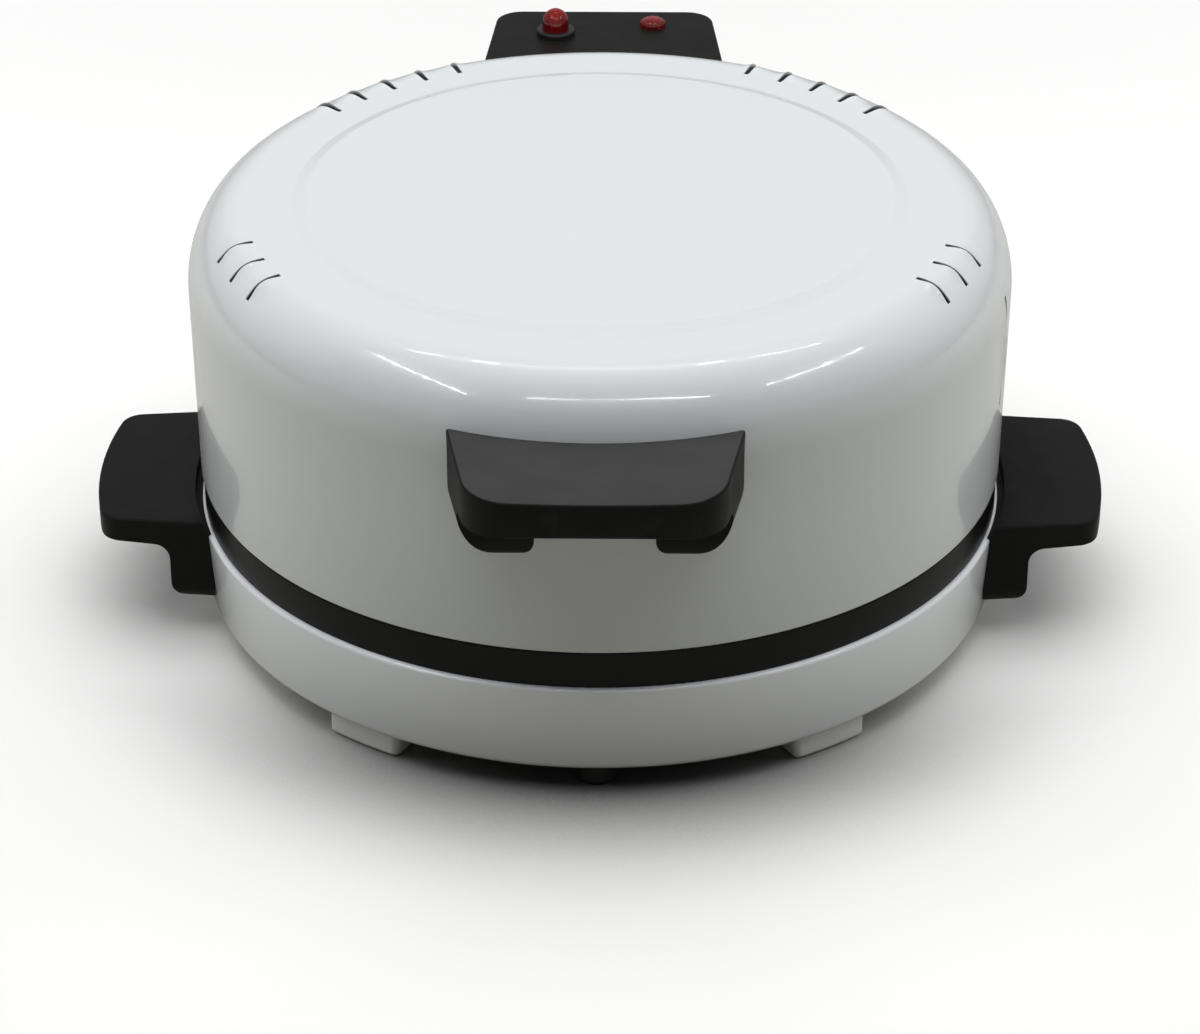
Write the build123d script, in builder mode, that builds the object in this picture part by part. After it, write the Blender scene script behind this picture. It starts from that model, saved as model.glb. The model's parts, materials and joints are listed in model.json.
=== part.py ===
from build123d import *

import os
from math import atan2, cos, degrees, radians, sin, sqrt

# Electric pizza oven: a shallow round base that holds a baking plate, and a tall lid hinged at the back.
# Millimetres. The origin lies on the floor below the oven's axis, -Y is the front and +Z is up.

# Sheet metal and fits
SHEET = 1.2  # base and lid sheet
THIN_SHEET = 0.8  # reflectors
FIT_GAP = 0.1  # between pieces that are screwed to one another
SCREW_GAP = 0.1  # round a screw's shank
RUN_GAP = 0.05  # round the hinge pin
LID_GAP = 0.4  # between the closed lid and the baking plate

# Base shell
FOOT_HEIGHT = 12.5
BASE_BOTTOM_R = 203.5
BASE_RIM_R = 206.7
BASE_WALL_HEIGHT = 47.5
BASE_CORNER_R = 4.0
BASE_RIM_ROUND = 2.0
BASE_FLANGE = 25.0  # bottom flange, turned inwards
BASE_LEDGE = 6.0  # top ledge, turned inwards
BASE_RIM_Z = FOOT_HEIGHT + BASE_WALL_HEIGHT

# Baking plate: its wall is the black band between base and lid
BAND_R = 204.0
BAND_HEIGHT = 19.0
BAND_WALL = 4.0
BAND_EDGE_ROUND = 1.0
PLATE_THICKNESS = 4.0
PLATE_RISE = 6.0  # underside of the plate above the base rim
PLATE_CORNER_R = 4.0
SPIGOT_DEPTH = 3.0
SPIGOT_WALL = 3.0
SPIGOT_GAP = 0.6
BAND_TOP_Z = BASE_RIM_Z + BAND_HEIGHT
PLATE_UNDER_Z = BASE_RIM_Z + PLATE_RISE
PLATE_TOP_Z = PLATE_UNDER_Z + PLATE_THICKNESS

# Lid shell
LID_RIM_R = 205.0
LID_WALL_R = 206.5
LID_HEIGHT = 141.5
SHOULDER_REACH = 30.7  # the shoulder is a quarter ellipse
SHOULDER_DROP = 40.0
LID_HEM = 7.0
LID_RIM_ROUND = 1.6
RING_OUTER_R = 153.7
RING_INNER_R = 146.8
RING_RISE = 2.0
RING_ROUND = 6.0
LID_CROWN = 1.0  # rise of the centre disc from the ring to the axis
LID_RIM_Z = BAND_TOP_Z + LID_GAP
LID_TOP_Z = LID_RIM_Z + LID_HEIGHT
SHOULDER_Z = LID_TOP_Z - SHOULDER_DROP
SHOULDER_R = LID_WALL_R - SHOULDER_REACH

# Louvres in the lid: radial ones on the shoulder, upright ones in the right wall
LOUVRE_WIDTH = 2.2
LOUVRE_DEPTH = 22.0  # of the cut below the top of the lid
FRONT_LOUVRE_REACH = (177.0, 195.0)
FRONT_LOUVRE_ANGLES = (17.8, 24.3, 30.6)  # in front of the X axis, on both sides
REAR_LOUVRE_REACH = (170.0, 190.0)
REAR_LOUVRE_ANGLES = (36.8, 43.4, 50.1, 56.8, 63.5)  # behind the X axis, on both sides
SIDE_LOUVRE_ANGLES = (-14.0, 14.0)
SIDE_LOUVRE_Z = (130.0, 191.0)

# Liner of the lid
LINER_R = 182.0
LINER_SHOULDER_R = 20.0
LINER_TOP_GAP = 26.0  # below the top of the lid
LINER_FLANGE_GAP = 1.0  # from the flange's edge to the lid's wall
LINER_TOP_Z = LID_TOP_Z - LINER_TOP_GAP

# Heating elements: one tube in two rings, with both ends at the back
ELEMENT_R = 3.25
ELEMENT_OUTER_R = 140.0
ELEMENT_INNER_R = 70.0
ELEMENT_LEG_X = 20.0
ELEMENT_LEG_BEND_R = 14.0
ELEMENT_TURN_ANGLE = 45.0
ELEMENT_END_Y = 188.0
ELEMENT_PIN_R = 1.6
ELEMENT_PIN_LENGTH = 6.0
LOWER_ELEMENT_DROP = 14.0  # below the underside of the plate
UPPER_ELEMENT_DROP = 26.0  # below the top of the liner
SUPPORT_THICKNESS = 1.5
SUPPORT_ANGLES = (-90.0, 30.0, 150.0)
SUPPORT_MARGIN = 8.0  # of a support beyond the rings
SUPPORT_LIP = 6.0  # of a support beyond the tube's axis
BUSH_R = 6.5
BUSH_BODY_LENGTH = 8.0
BUSH_COLLAR_R = 9.0
BUSH_COLLAR = 3.0
BUSH_SEAT_Y = sqrt((LINER_R - THIN_SHEET) ** 2 - (ELEMENT_LEG_X + BUSH_COLLAR_R) ** 2) - FIT_GAP
LOWER_ELEMENT_Z = PLATE_UNDER_Z - LOWER_ELEMENT_DROP
UPPER_ELEMENT_Z = LINER_TOP_Z - UPPER_ELEMENT_DROP

# Base cover, lower reflector, its posts, and the feet
COVER_R = 197.0
COVER_TOP_Z = FOOT_HEIGHT + 2 * SHEET
VENT_COUNT = 24
VENT_CIRCLE_R = 95.0
VENT_LENGTH = 26.0
VENT_WIDTH = 3.0
COVER_SCREW_CIRCLE_R = 190.0
COVER_SCREW_COUNT = 8
COVER_SCREW_START = 22.5
REFLECTOR_R = 186.0
REFLECTOR_FLAT_R = 165.0
REFLECTOR_RISE = 11.0
REFLECTOR_BEND_R = 8.0
POST_HEIGHT = 19.0
POST_ACROSS_FLATS = 8.0
POST_CIRCLE_R = 120.0
POST_COUNT = 4
REFLECTOR_Z = COVER_TOP_Z + POST_HEIGHT
FOOT_INNER_R = 168.0
FOOT_OUTER_R = 200.0
FOOT_WIDTH_ANGLE = 12.3
FOOT_ANGLE = 35.2  # from the front or the back
FOOT_EDGE_ROUND = 3.5
FOOT_SOLE_ROUND = 2.5
FOOT_SCREW_R = 186.0
CENTRE_FOOT_R = 11.5
CENTRE_FOOT_SOLE_ROUND = 2.0

# Screws
SCREW_R = 2.0
SCREW_HEAD_R = 4.0
SCREW_HEAD = 2.4
SCREW_HEAD_ROUND = 1.0
SCREW_SLOT_WIDTH = 0.9
SCREW_SLOT_DEPTH = 1.0
SCREW_LENGTH = 11.0
BRACKET_SCREW_LENGTH = 5.0

# Side handles, drawn at the front and then turned
SIDE_HANDLE_WALL_HALF = 61.0
SIDE_HANDLE_FRONT_HALF = 55.5
SIDE_HANDLE_REACH = 258.5
SIDE_HANDLE_BOW = 7.0
SIDE_HANDLE_CORNER_R = 12.0
SIDE_HANDLE_TOP_Z = BASE_RIM_Z + 6.0
SIDE_HANDLE_DROP = 0.0
SIDE_HANDLE_SHELF = 12.0
SIDE_HANDLE_LIP_R = 9.0
SIDE_HANDLE_LEG_SHARE = 0.218  # reach of the legs beyond the wall, of the handle's own
SIDE_HANDLE_LEG_WIDTH = 24.0
SIDE_HANDLE_LEG_HEIGHT = 49.0
SIDE_HANDLE_CLEARANCE_R = 208.8  # clears the lid and the base rim
SIDE_SCREW_ANGLE = 13.0
SIDE_SCREW_Z = 36.0

# Front handle
FRONT_HANDLE_WALL_HALF = 68.0
FRONT_HANDLE_FRONT_HALF = 57.5
FRONT_HANDLE_REACH = 256.0
FRONT_HANDLE_BOW = 2.5
FRONT_HANDLE_CORNER_R = 24.0
FRONT_HANDLE_TOP_Z = 193.5
FRONT_HANDLE_DROP = 4.5
FRONT_HANDLE_SHELF = 18.4
FRONT_HANDLE_LIP_R = 4.0
FRONT_HANDLE_LEG_SHARE = 0.313
FRONT_HANDLE_LEG_WIDTH = 40.0
FRONT_HANDLE_LEG_HEIGHT = 54.5
FRONT_SCREW_ANGLE = 13.5
FRONT_SCREW_Z = 156.0
HANDLE_UNDER_R = 8.0
HANDLE_LEG_CORNER_R = 13.0
HANDLE_LEG_INNER_R = 7.0
HANDLE_TOE_SHARE = 0.3  # radius of a sole's corner at the gap, of the leg's width
HANDLE_LEG_OUTER_R = 28.0  # less where the leg is narrow
HANDLE_LEG_FLAT = 1.0  # of a leg's sole, between its inner and outer corners
HANDLE_EDGE_ROUND = 1.6
HANDLE_SHELF_TAPER = 2.0  # the shelf is this much thicker at the leg
HANDLE_ROOT_Y = -150.0  # inside the wall, cut off by the shell that the handle is on
HANDLE_SHOULDER_Y = -198.0  # where the sides are as wide as stated

# Rear housing with the pilot lamps
HOUSING_WALL_HALF = 63.0
HOUSING_BACK_HALF = 58.5
HOUSING_REACH = 252.0
HOUSING_CORNER_R = 14.5
HOUSING_TOP_Z = 215.0
HOUSING_HEIGHT = 66.0
HOUSING_SHELL = 2.6
HOUSING_TOE_R = 12.0
HOUSING_EDGE_ROUND = 1.2
HOUSING_BOSS = 10.0
HOUSING_BOSS_DEPTH = 14.0
HOUSING_SCREW_ANGLE = 14.5
HOUSING_SCREW_Z = 165.0
LAMP_X = 26.6
TALL_LAMP_SHARE = 0.32  # of the way from the lid's wall to the housing's back
LOW_LAMP_SHARE = 0.575
LAMP_BACK_GAP = 0.5  # from a nut to the inside of the housing's back
TALL_LENS_R = 7.2
TALL_LENS_STRAIGHT = 6.5
TALL_LENS_HEIGHT = 14.5
TALL_BEZEL_R = 10.5
TALL_BEZEL_HEIGHT = 3.0
LOW_LENS_R = 7.0
LOW_LENS_EDGE = 1.5
LOW_LENS_HEIGHT = 4.5
LAMP_BODY_R = 5.0
LAMP_BODY_LENGTH = 20.0
LAMP_COLLAR_R = 5.8
LAMP_COLLAR = 1.3
LENS_RECESS_R = 5.9
LENS_RECESS = 1.5
LAMP_NUT_ACROSS_FLATS = 14.0
LAMP_NUT = 3.0
LAMP_WALL_Y = sqrt(LID_WALL_R**2 - LAMP_X**2)
LAMP_BACK_Y = HOUSING_REACH - HOUSING_SHELL - LAMP_NUT_ACROSS_FLATS / sqrt(3) - LAMP_BACK_GAP
TALL_LAMP_Y = min(LAMP_WALL_Y + TALL_LAMP_SHARE * (HOUSING_REACH - LAMP_WALL_Y), LAMP_BACK_Y)
LOW_LAMP_Y = min(LAMP_WALL_Y + LOW_LAMP_SHARE * (HOUSING_REACH - LAMP_WALL_Y), LAMP_BACK_Y)
LENS_GAP = 0.1

# Hinge
PIN_R = 3.0
PIN_Y = 224.0
PIN_Z = 70.0
PIN_HEAD_R = 5.0
PIN_HEAD = 2.0
PIN_TAIL = 3.0
PIN_END_GAP = 0.3
PIN_GROOVE_R = 2.4
CLIP_R = 5.5
CLIP_THICKNESS = 1.0
EAR_THICKNESS = 2.5
LID_ARM_X = 24.0  # inner face of a lid arm
ARM_SIDE_GAP = 1.5
LID_ARM_R = 9.0
LID_ARM_LEAN = 6.0
LID_ARM_RISE = 40.0
BASE_EAR_R = 10.0
BRACKET_HALF_X = 40.0
BRACKET_SHEET = 2.2
BRACKET_CORNER_R = 5.0
BASE_BRACKET_Z = (22.0, 55.0)
LID_BRACKET_Z = (92.0, 138.0)
BRACKET_SCREW_MARGIN = 8.0
BRACKET_SCREW_ANGLE = 9.6
STOP_Y = 236.0
STOP_THICKNESS = 3.0
STOP_HEIGHT = 15.0
STOP_GAP = 0.4
LID_OPEN_ANGLE = 95.0
BASE_EAR_X = LID_ARM_X + EAR_THICKNESS + ARM_SIDE_GAP

# Thermostat, terminal block, earth screw, glands and leads
THERMOSTAT_R = 8.5
THERMOSTAT_HEIGHT = 11.0
THERMOSTAT_STRIP_WIDTH = 12.0
THERMOSTAT_STRIP_SPAN = 34.0
THERMOSTAT_STRIP_TOE = 9.0
BLOCK_LENGTH, BLOCK_WIDTH, BLOCK_HEIGHT = 34.0, 18.0, 14.0
BLOCK_ANGLE, BLOCK_CIRCLE_R = 115.0, 150.0
BLOCK_SCREW_SPACING = 16.0
EARTH_ANGLE, EARTH_CIRCLE_R = 96.0, 150.0
EARTH_STUD_LENGTH = 12.0
EARTH_NUT_ACROSS_FLATS = 7.0
EARTH_NUT = 3.2
CORD_GLAND_ANGLE = 115.0
HINGE_GLAND_ANGLE = 72.0
GLAND_Z = 36.0
GLAND_BORE_R = 4.0
GLAND_BODY_R = 7.0
GLAND_FLANGE_R = 10.0
GLAND_FLANGE = 3.0
GLAND_INNER_LENGTH = 10.0
HOUSING_GLAND_X = 42.0
HOUSING_GLAND_GAP = 0.5  # from the flange to the lid's wall and from the nut to the toe's curve
GROMMET_Z = 176.0
GROMMET_BORE_R = 5.0
GROMMET_R = 9.0
GROMMET_LIP = 1.5
GROMMET_NECK_R = 7.0
LEAD_R = 1.3
LEAD_BEND_R = 4.0
LEAD_PITCH = 5.0
BLOCK_LEAD_Z = 24.0
BLOCK_LEAD_X = (12.0, 4.0)  # of the two leads, from the middle of the block
LEAD_RISE_R = (197.0, 191.0)
LEAD_RISE_ANGLE = (108.5, 110.5)
LEAD_CROSS_R, LEAD_CROSS_ANGLE = 198.0, 97.0


def base_wall_r(z):
    """Outer radius of the base wall at height z."""
    return BASE_BOTTOM_R + (BASE_RIM_R - BASE_BOTTOM_R) * (z - FOOT_HEIGHT) / BASE_WALL_HEIGHT


def lid_wall_r(z):
    """Outer radius of the lid's wall at height z, below the shoulder."""
    return LID_RIM_R + (LID_WALL_R - LID_RIM_R) * (z - LID_RIM_Z) / (SHOULDER_Z - LID_RIM_Z)


def polar(radius, angle, z=0.0):
    """The point at this radius, angle and height."""
    return (radius * cos(radians(angle)), radius * sin(radians(angle)), z)


def radial_plane(radius, angle, z):
    """A plane at this point whose normal points outwards and whose X axis is level."""
    return Plane(origin=polar(radius, angle, z), x_dir=polar(1, angle + 90), z_dir=polar(1, angle))


def base_inside(angle, z, half_height):
    """The plane just inside the base wall for a round piece of this half height."""
    return radial_plane(base_wall_r(z - half_height) - SHEET - FIT_GAP, angle, z)


def lid_inside(angle, z, half_height):
    """The plane just inside the lid wall for a round piece of this half height."""
    return radial_plane(lid_wall_r(z - half_height) - SHEET - FIT_GAP, angle, z)


def save(builder, name):
    """Labels a finished piece and writes its file."""
    builder.part.label = name
    export_step(builder.part, f"parts/{name}.step")


def base_profile(inset):
    """Half section of the closed base drum, drawn this far inside its outer skin."""
    low, high = FOOT_HEIGHT + inset, BASE_RIM_Z - inset
    with BuildSketch(Plane.XZ) as profile:
        with BuildLine():
            corner = max(BASE_CORNER_R - inset, FIT_GAP)
            rim = max(BASE_RIM_ROUND - inset, FIT_GAP)
            outer = FilletPolyline(
                (0, low),
                (base_wall_r(low) - inset, low),
                (base_wall_r(high) - inset, high),
                (0, high),
                radius=[corner, rim],
            )
            Line(outer @ 1, outer @ 0)
        make_face()
    return profile.sketch


def lid_profile(inset):
    """Half section of the closed lid, drawn this far inside its outer skin."""
    low, top = LID_RIM_Z + inset, LID_TOP_Z - inset
    with BuildSketch(Plane.XZ) as profile:
        with BuildLine():
            crown = FilletPolyline(
                (0, top + RING_RISE + LID_CROWN),
                (RING_INNER_R, top + RING_RISE),
                (RING_OUTER_R, top),
                (SHOULDER_R, top),
                radius=RING_ROUND,
            )
            EllipticalCenterArc(
                (SHOULDER_R, SHOULDER_Z), SHOULDER_REACH - inset, SHOULDER_DROP - inset, 0, arc_size=90
            )
            wall = FilletPolyline(
                (LID_WALL_R - inset, SHOULDER_Z),
                (LID_RIM_R - inset, low),
                (0, low),
                radius=max(LID_RIM_ROUND - inset, FIT_GAP),
            )
            Line(wall @ 1, crown @ 0)
        make_face()
    return profile.sketch


def revolved(profile):
    """The solid of revolution of a half section."""
    with BuildPart() as solid:
        add(profile)
        revolve(axis=Axis.Z)
    return solid.part


def screws(planes, length, name):
    """Pan-head screws, each with the underside of its head on a plane and its shank along the normal."""
    with BuildPart() as group:
        with Locations(*planes):
            Cylinder(SCREW_R, length, align=(Align.CENTER, Align.CENTER, Align.MIN))
            Cylinder(SCREW_HEAD_R, SCREW_HEAD, align=(Align.CENTER, Align.CENTER, Align.MAX))
        rims = group.edges().filter_by(GeomType.CIRCLE).filter_by(lambda e: e.radius > SCREW_R + FIT_GAP)
        crowns = [rims.sort_by_distance(plane.offset(-SCREW_HEAD).origin)[0] for plane in planes]
        fillet(crowns, SCREW_HEAD_ROUND)
        for plane in planes:
            with BuildSketch(plane.offset(-SCREW_HEAD)):
                Rectangle(2 * SCREW_HEAD_R, SCREW_SLOT_WIDTH)
            extrude(amount=SCREW_SLOT_DEPTH, mode=Mode.SUBTRACT)
    save(group, name)


def drill(planes, radius, depth):
    """Cuts a round hole at each plane, this deep to both sides."""
    with Locations(*planes):
        Cylinder(radius, 2 * depth, mode=Mode.SUBTRACT)


def gland(name, plane, wall, inner_length):
    """A bored gland: a flange outside the plane, a neck through the wall and a nut on its far side."""
    with BuildPart() as bush:
        with Locations(plane):
            Cylinder(GLAND_FLANGE_R, GLAND_FLANGE, align=(Align.CENTER, Align.CENTER, Align.MIN))
            Cylinder(GLAND_BODY_R, inner_length, align=(Align.CENTER, Align.CENTER, Align.MAX))
        rims = bush.edges().filter_by(GeomType.CIRCLE).filter_by(lambda e: e.radius > GLAND_BODY_R + FIT_GAP)
        fillet(rims.sort_by_distance(plane.offset(2 * GLAND_FLANGE).origin)[0], GLAND_FLANGE / 3)
        with Locations(plane.offset(-wall)):
            Cylinder(GLAND_FLANGE_R, GLAND_FLANGE, align=(Align.CENTER, Align.CENTER, Align.MAX))
        drill([plane], GLAND_BORE_R, inner_length + GLAND_FLANGE)
    save(bush, name)


def handle_moulding(
    wall, half, front_half, reach, bow, corner, lip, top, drop, shelf, leg_share, leg_width, leg
):
    """A handle at the front, a shelf on two legs, before it is cut to the shell that it is on."""
    shoulder, root = HANDLE_SHOULDER_Y, HANDLE_ROOT_Y + HANDLE_UNDER_R
    low, under = top - leg, top - drop - shelf - HANDLE_SHELF_TAPER
    leg_reach = wall + leg_share * (reach - wall)
    root_top = top + drop * (HANDLE_ROOT_Y - shoulder) / (reach + shoulder)
    root_half = half + (half - front_half) * (root - shoulder) / (reach - bow + shoulder)
    with BuildPart() as moulding:
        # Side view: the shelf stands out beyond the legs
        with BuildSketch(Plane.YZ) as side:
            with BuildLine():
                Polyline(
                    (HANDLE_ROOT_Y, root_top),
                    (-reach, top - drop),
                    (-reach, top - drop - shelf),
                    (-leg_reach, under),
                    (-leg_reach, low),
                    (HANDLE_ROOT_Y, low),
                    close=True,
                )
            make_face()
            fillet(side.vertices().sort_by_distance((-reach, top - drop - shelf))[0], lip)
            fillet(side.vertices().sort_by_distance((-leg_reach, under))[0], HANDLE_UNDER_R)
            fillet(side.vertices().sort_by_distance((-leg_reach, low))[0], HANDLE_LEG_CORNER_R)
        extrude(amount=root_half, both=True)
        # Front view: room for fingers between the legs
        gap = half - leg_width
        with BuildSketch(Plane.XZ) as opening:
            with BuildLine():
                Polyline((-gap, low - leg), (-gap, under), (gap, under), (gap, low - leg), close=True)
            make_face()
            fillet(opening.vertices().group_by(Axis.Y)[-1], HANDLE_LEG_INNER_R)
        extrude(amount=2 * reach, mode=Mode.SUBTRACT)
        # Plan: sides that taper in towards a bowed front
        with BuildSketch(Plane.XY.offset(low - HANDLE_UNDER_R)) as plan:
            with BuildLine():
                left = Line((-root_half, root), (-front_half, bow - reach))
                front = ThreePointArc(left @ 1, (0, -reach), (front_half, bow - reach))
                right = Line(front @ 1, (root_half, root))
                Line(right @ 1, left @ 0)
            make_face()
            fillet(plan.vertices().group_by(Axis.Y)[0], corner)
        extrude(amount=root_top - low + 2 * HANDLE_UNDER_R, mode=Mode.INTERSECT)
        # Rounded soles of the legs, along their tapered sides and along the gap, and a rounded top edge
        toe_r = HANDLE_TOE_SHARE * leg_width
        leg_outer_r = min(HANDLE_LEG_OUTER_R, leg_width - toe_r - HANDLE_LEG_FLAT)
        for x in (1, -1):
            run = Vector(x * (front_half - root_half), bow - reach - root).normalized()
            outer = Plane(origin=(x * root_half, root, low), x_dir=(x * run.Y, -x * run.X, 0), z_dir=run)
            inner = Plane(origin=(x * gap, 0, low), x_dir=(x, 0, 0), z_dir=(0, -1, 0))
            for plane, radius in ((outer, leg_outer_r), (inner, toe_r)):
                rise = plane.y_dir.Z
                with BuildSketch(plane):
                    with Locations(((radius - 1) / 2, rise * (radius - 1) / 2)):
                        Rectangle(radius + 1, radius + 1)
                    with Locations((radius, rise * radius)):
                        Circle(radius, mode=Mode.SUBTRACT)
                extrude(amount=2 * reach, mode=Mode.SUBTRACT)
        crown = moulding.faces().filter_by(lambda f: f.normal_at().Z > 0.9).sort_by(Axis.Z)[-1]
        fillet(crown.edges().filter_by(lambda e: e.center().Y < HANDLE_ROOT_Y - FIT_GAP), HANDLE_EDGE_ROUND)
    return moulding.part


def element(z, end_y, name):
    """A tube bent into two rings from one end to the other, with a terminal pin at each end."""
    leg, bend = ELEMENT_LEG_X, ELEMENT_LEG_BEND_R
    entry_y = sqrt((ELEMENT_OUTER_R + bend) ** 2 - (leg + bend) ** 2)
    exit_y = sqrt((ELEMENT_INNER_R + bend) ** 2 - (leg - bend) ** 2)
    entry_angle = degrees(atan2(entry_y, -leg - bend))
    exit_angle = degrees(atan2(exit_y, leg - bend))
    turn_r = (ELEMENT_OUTER_R - ELEMENT_INNER_R) / 2
    turn_centre = polar(ELEMENT_INNER_R + turn_r, ELEMENT_TURN_ANGLE)[:2]
    with BuildPart() as heater:
        with BuildLine(Plane.XY.offset(z)) as path:
            Line((-leg, end_y), (-leg, entry_y))
            CenterArc((-leg - bend, entry_y), bend, 0, entry_angle - 180)
            CenterArc((0, 0), ELEMENT_OUTER_R, entry_angle, ELEMENT_TURN_ANGLE + 360 - entry_angle)
            CenterArc(turn_centre, turn_r, ELEMENT_TURN_ANGLE, 180)
            CenterArc((0, 0), ELEMENT_INNER_R, ELEMENT_TURN_ANGLE, exit_angle - 360 - ELEMENT_TURN_ANGLE)
            CenterArc((leg - bend, exit_y), bend, exit_angle - 180, 180 - exit_angle)
            Line((leg, exit_y), (leg, end_y))
        with BuildSketch(Plane(origin=(-leg, end_y, z), z_dir=(0, -1, 0))):
            Circle(ELEMENT_R)
        sweep(path=path.line)
        ends = [Plane(origin=(x, end_y, z), z_dir=(0, 1, 0)) for x in (-leg, leg)]
        with Locations(*ends):
            Cylinder(ELEMENT_PIN_R, ELEMENT_PIN_LENGTH, align=(Align.CENTER, Align.CENTER, Align.MIN))
    save(heater, name)


def supports(z, low, high, name):
    """Three upright strips under or over an element, with a hole for each ring of its tube."""
    inner, outer = ELEMENT_INNER_R - SUPPORT_MARGIN, ELEMENT_OUTER_R + SUPPORT_MARGIN
    with BuildPart() as strips:
        for angle in SUPPORT_ANGLES:
            with Locations(radial_plane((inner + outer) / 2, angle, (low + high) / 2)):
                Box(SUPPORT_THICKNESS, high - low, outer - inner)
            for radius in (ELEMENT_INNER_R, ELEMENT_OUTER_R):
                across = Plane(origin=polar(radius, angle, z), z_dir=polar(1, angle + 90))
                drill([across], ELEMENT_R + FIT_GAP, SUPPORT_THICKNESS)
    save(strips, name)


def curved_bracket(low, high, skin):
    """A plate bent round a wall at the back: the part of a skin solid behind a rounded rectangle."""
    with BuildPart() as plate:
        with BuildSketch(Plane.XZ.offset(-BASE_RIM_R - 2 * BRACKET_SHEET)):
            with Locations((0, (low + high) / 2)):
                RectangleRounded(2 * BRACKET_HALF_X, high - low, BRACKET_CORNER_R)
        extrude(amount=BASE_RIM_R / 4)
        add(skin, mode=Mode.INTERSECT)
    return plate.part


def leads(routes, name):
    """Insulated wires, each along its own route of straight runs and bends."""
    with BuildPart() as wires:
        for route in routes:
            with BuildLine() as path:
                FilletPolyline(*route, radius=LEAD_BEND_R)
            with BuildSketch(Plane(origin=path.line @ 0, z_dir=path.line % 0)):
                Circle(LEAD_R)
            sweep(path=path.line)
    save(wires, name)


os.makedirs("parts", exist_ok=True)

# Envelopes: the closed outer skins, a fit's gap out, to cut other pieces against
base_drum = revolved(base_profile(-FIT_GAP))
with BuildPart() as base_envelope:
    add(base_drum)
    with Locations((0, 0, BASE_RIM_Z)):
        Cylinder(
            SIDE_HANDLE_CLEARANCE_R,
            LID_RIM_Z - BASE_RIM_Z,
            align=(Align.CENTER, Align.CENTER, Align.MIN),
        )
lid_envelope = revolved(lid_profile(-FIT_GAP))

# Screw places, shared by the screws, their holes and the pieces that they hold
side_screw_planes = {
    side: [base_inside(middle + a, SIDE_SCREW_Z, SCREW_HEAD_R) for a in (-SIDE_SCREW_ANGLE, SIDE_SCREW_ANGLE)]
    for side, middle in (("left", 180), ("right", 0))
}
front_screw_planes = [
    lid_inside(-90 + a, FRONT_SCREW_Z, SCREW_HEAD_R) for a in (-FRONT_SCREW_ANGLE, FRONT_SCREW_ANGLE)
]
housing_screw_planes = [
    lid_inside(90 + a, HOUSING_SCREW_Z, SCREW_HEAD_R) for a in (-HOUSING_SCREW_ANGLE, HOUSING_SCREW_ANGLE)
]
base_bracket_planes = [
    base_inside(90 + a, z, SCREW_HEAD_R)
    for a in (-BRACKET_SCREW_ANGLE, BRACKET_SCREW_ANGLE)
    for z in (BASE_BRACKET_Z[0] + BRACKET_SCREW_MARGIN, BASE_BRACKET_Z[1] - BRACKET_SCREW_MARGIN)
]
lid_bracket_planes = [
    lid_inside(90 + a, z, SCREW_HEAD_R)
    for a in (-BRACKET_SCREW_ANGLE, BRACKET_SCREW_ANGLE)
    for z in (LID_BRACKET_Z[0] + BRACKET_SCREW_MARGIN, LID_BRACKET_Z[1] - BRACKET_SCREW_MARGIN)
]
cover_screw_planes = [
    Plane(origin=polar(COVER_SCREW_CIRCLE_R, COVER_SCREW_START + n * 360 / COVER_SCREW_COUNT, FOOT_HEIGHT))
    for n in range(COVER_SCREW_COUNT)
]
foot_angles = {
    "front_left_foot": -90 - FOOT_ANGLE,
    "front_right_foot": -90 + FOOT_ANGLE,
    "rear_left_foot": 90 + FOOT_ANGLE,
    "rear_right_foot": 90 - FOOT_ANGLE,
}
foot_screw_planes = [
    Plane(origin=polar(FOOT_SCREW_R, angle, COVER_TOP_Z), z_dir=(0, 0, -1))
    for angle in (*foot_angles.values(), -90)
]
gland_r = base_wall_r(GLAND_Z + GLAND_FLANGE_R) + FIT_GAP
gland_nut_r = sqrt((base_wall_r(GLAND_Z - GLAND_FLANGE_R) - SHEET) ** 2 - GLAND_FLANGE_R**2) - FIT_GAP
base_gland_planes = {
    "cord_gland": radial_plane(gland_r, CORD_GLAND_ANGLE, GLAND_Z),
    "hinge_lead_gland": radial_plane(gland_r, HINGE_GLAND_ANGLE, GLAND_Z),
}
housing_low = HOUSING_TOP_Z - HOUSING_HEIGHT
housing_gland_y = sqrt((LID_WALL_R + GLAND_FLANGE_R + HOUSING_GLAND_GAP) ** 2 - HOUSING_GLAND_X**2)
housing_gland_plane = Plane(origin=(HOUSING_GLAND_X, housing_gland_y, housing_low - FIT_GAP), z_dir=(0, 0, -1))
housing_toe_room = HOUSING_REACH - HOUSING_SHELL - housing_gland_y - GLAND_FLANGE_R - HOUSING_GLAND_GAP
housing_toe_r = min(HOUSING_TOE_R, housing_toe_room)
grommet_plane = radial_plane(lid_wall_r(GROMMET_Z), 90, GROMMET_Z)

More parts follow.
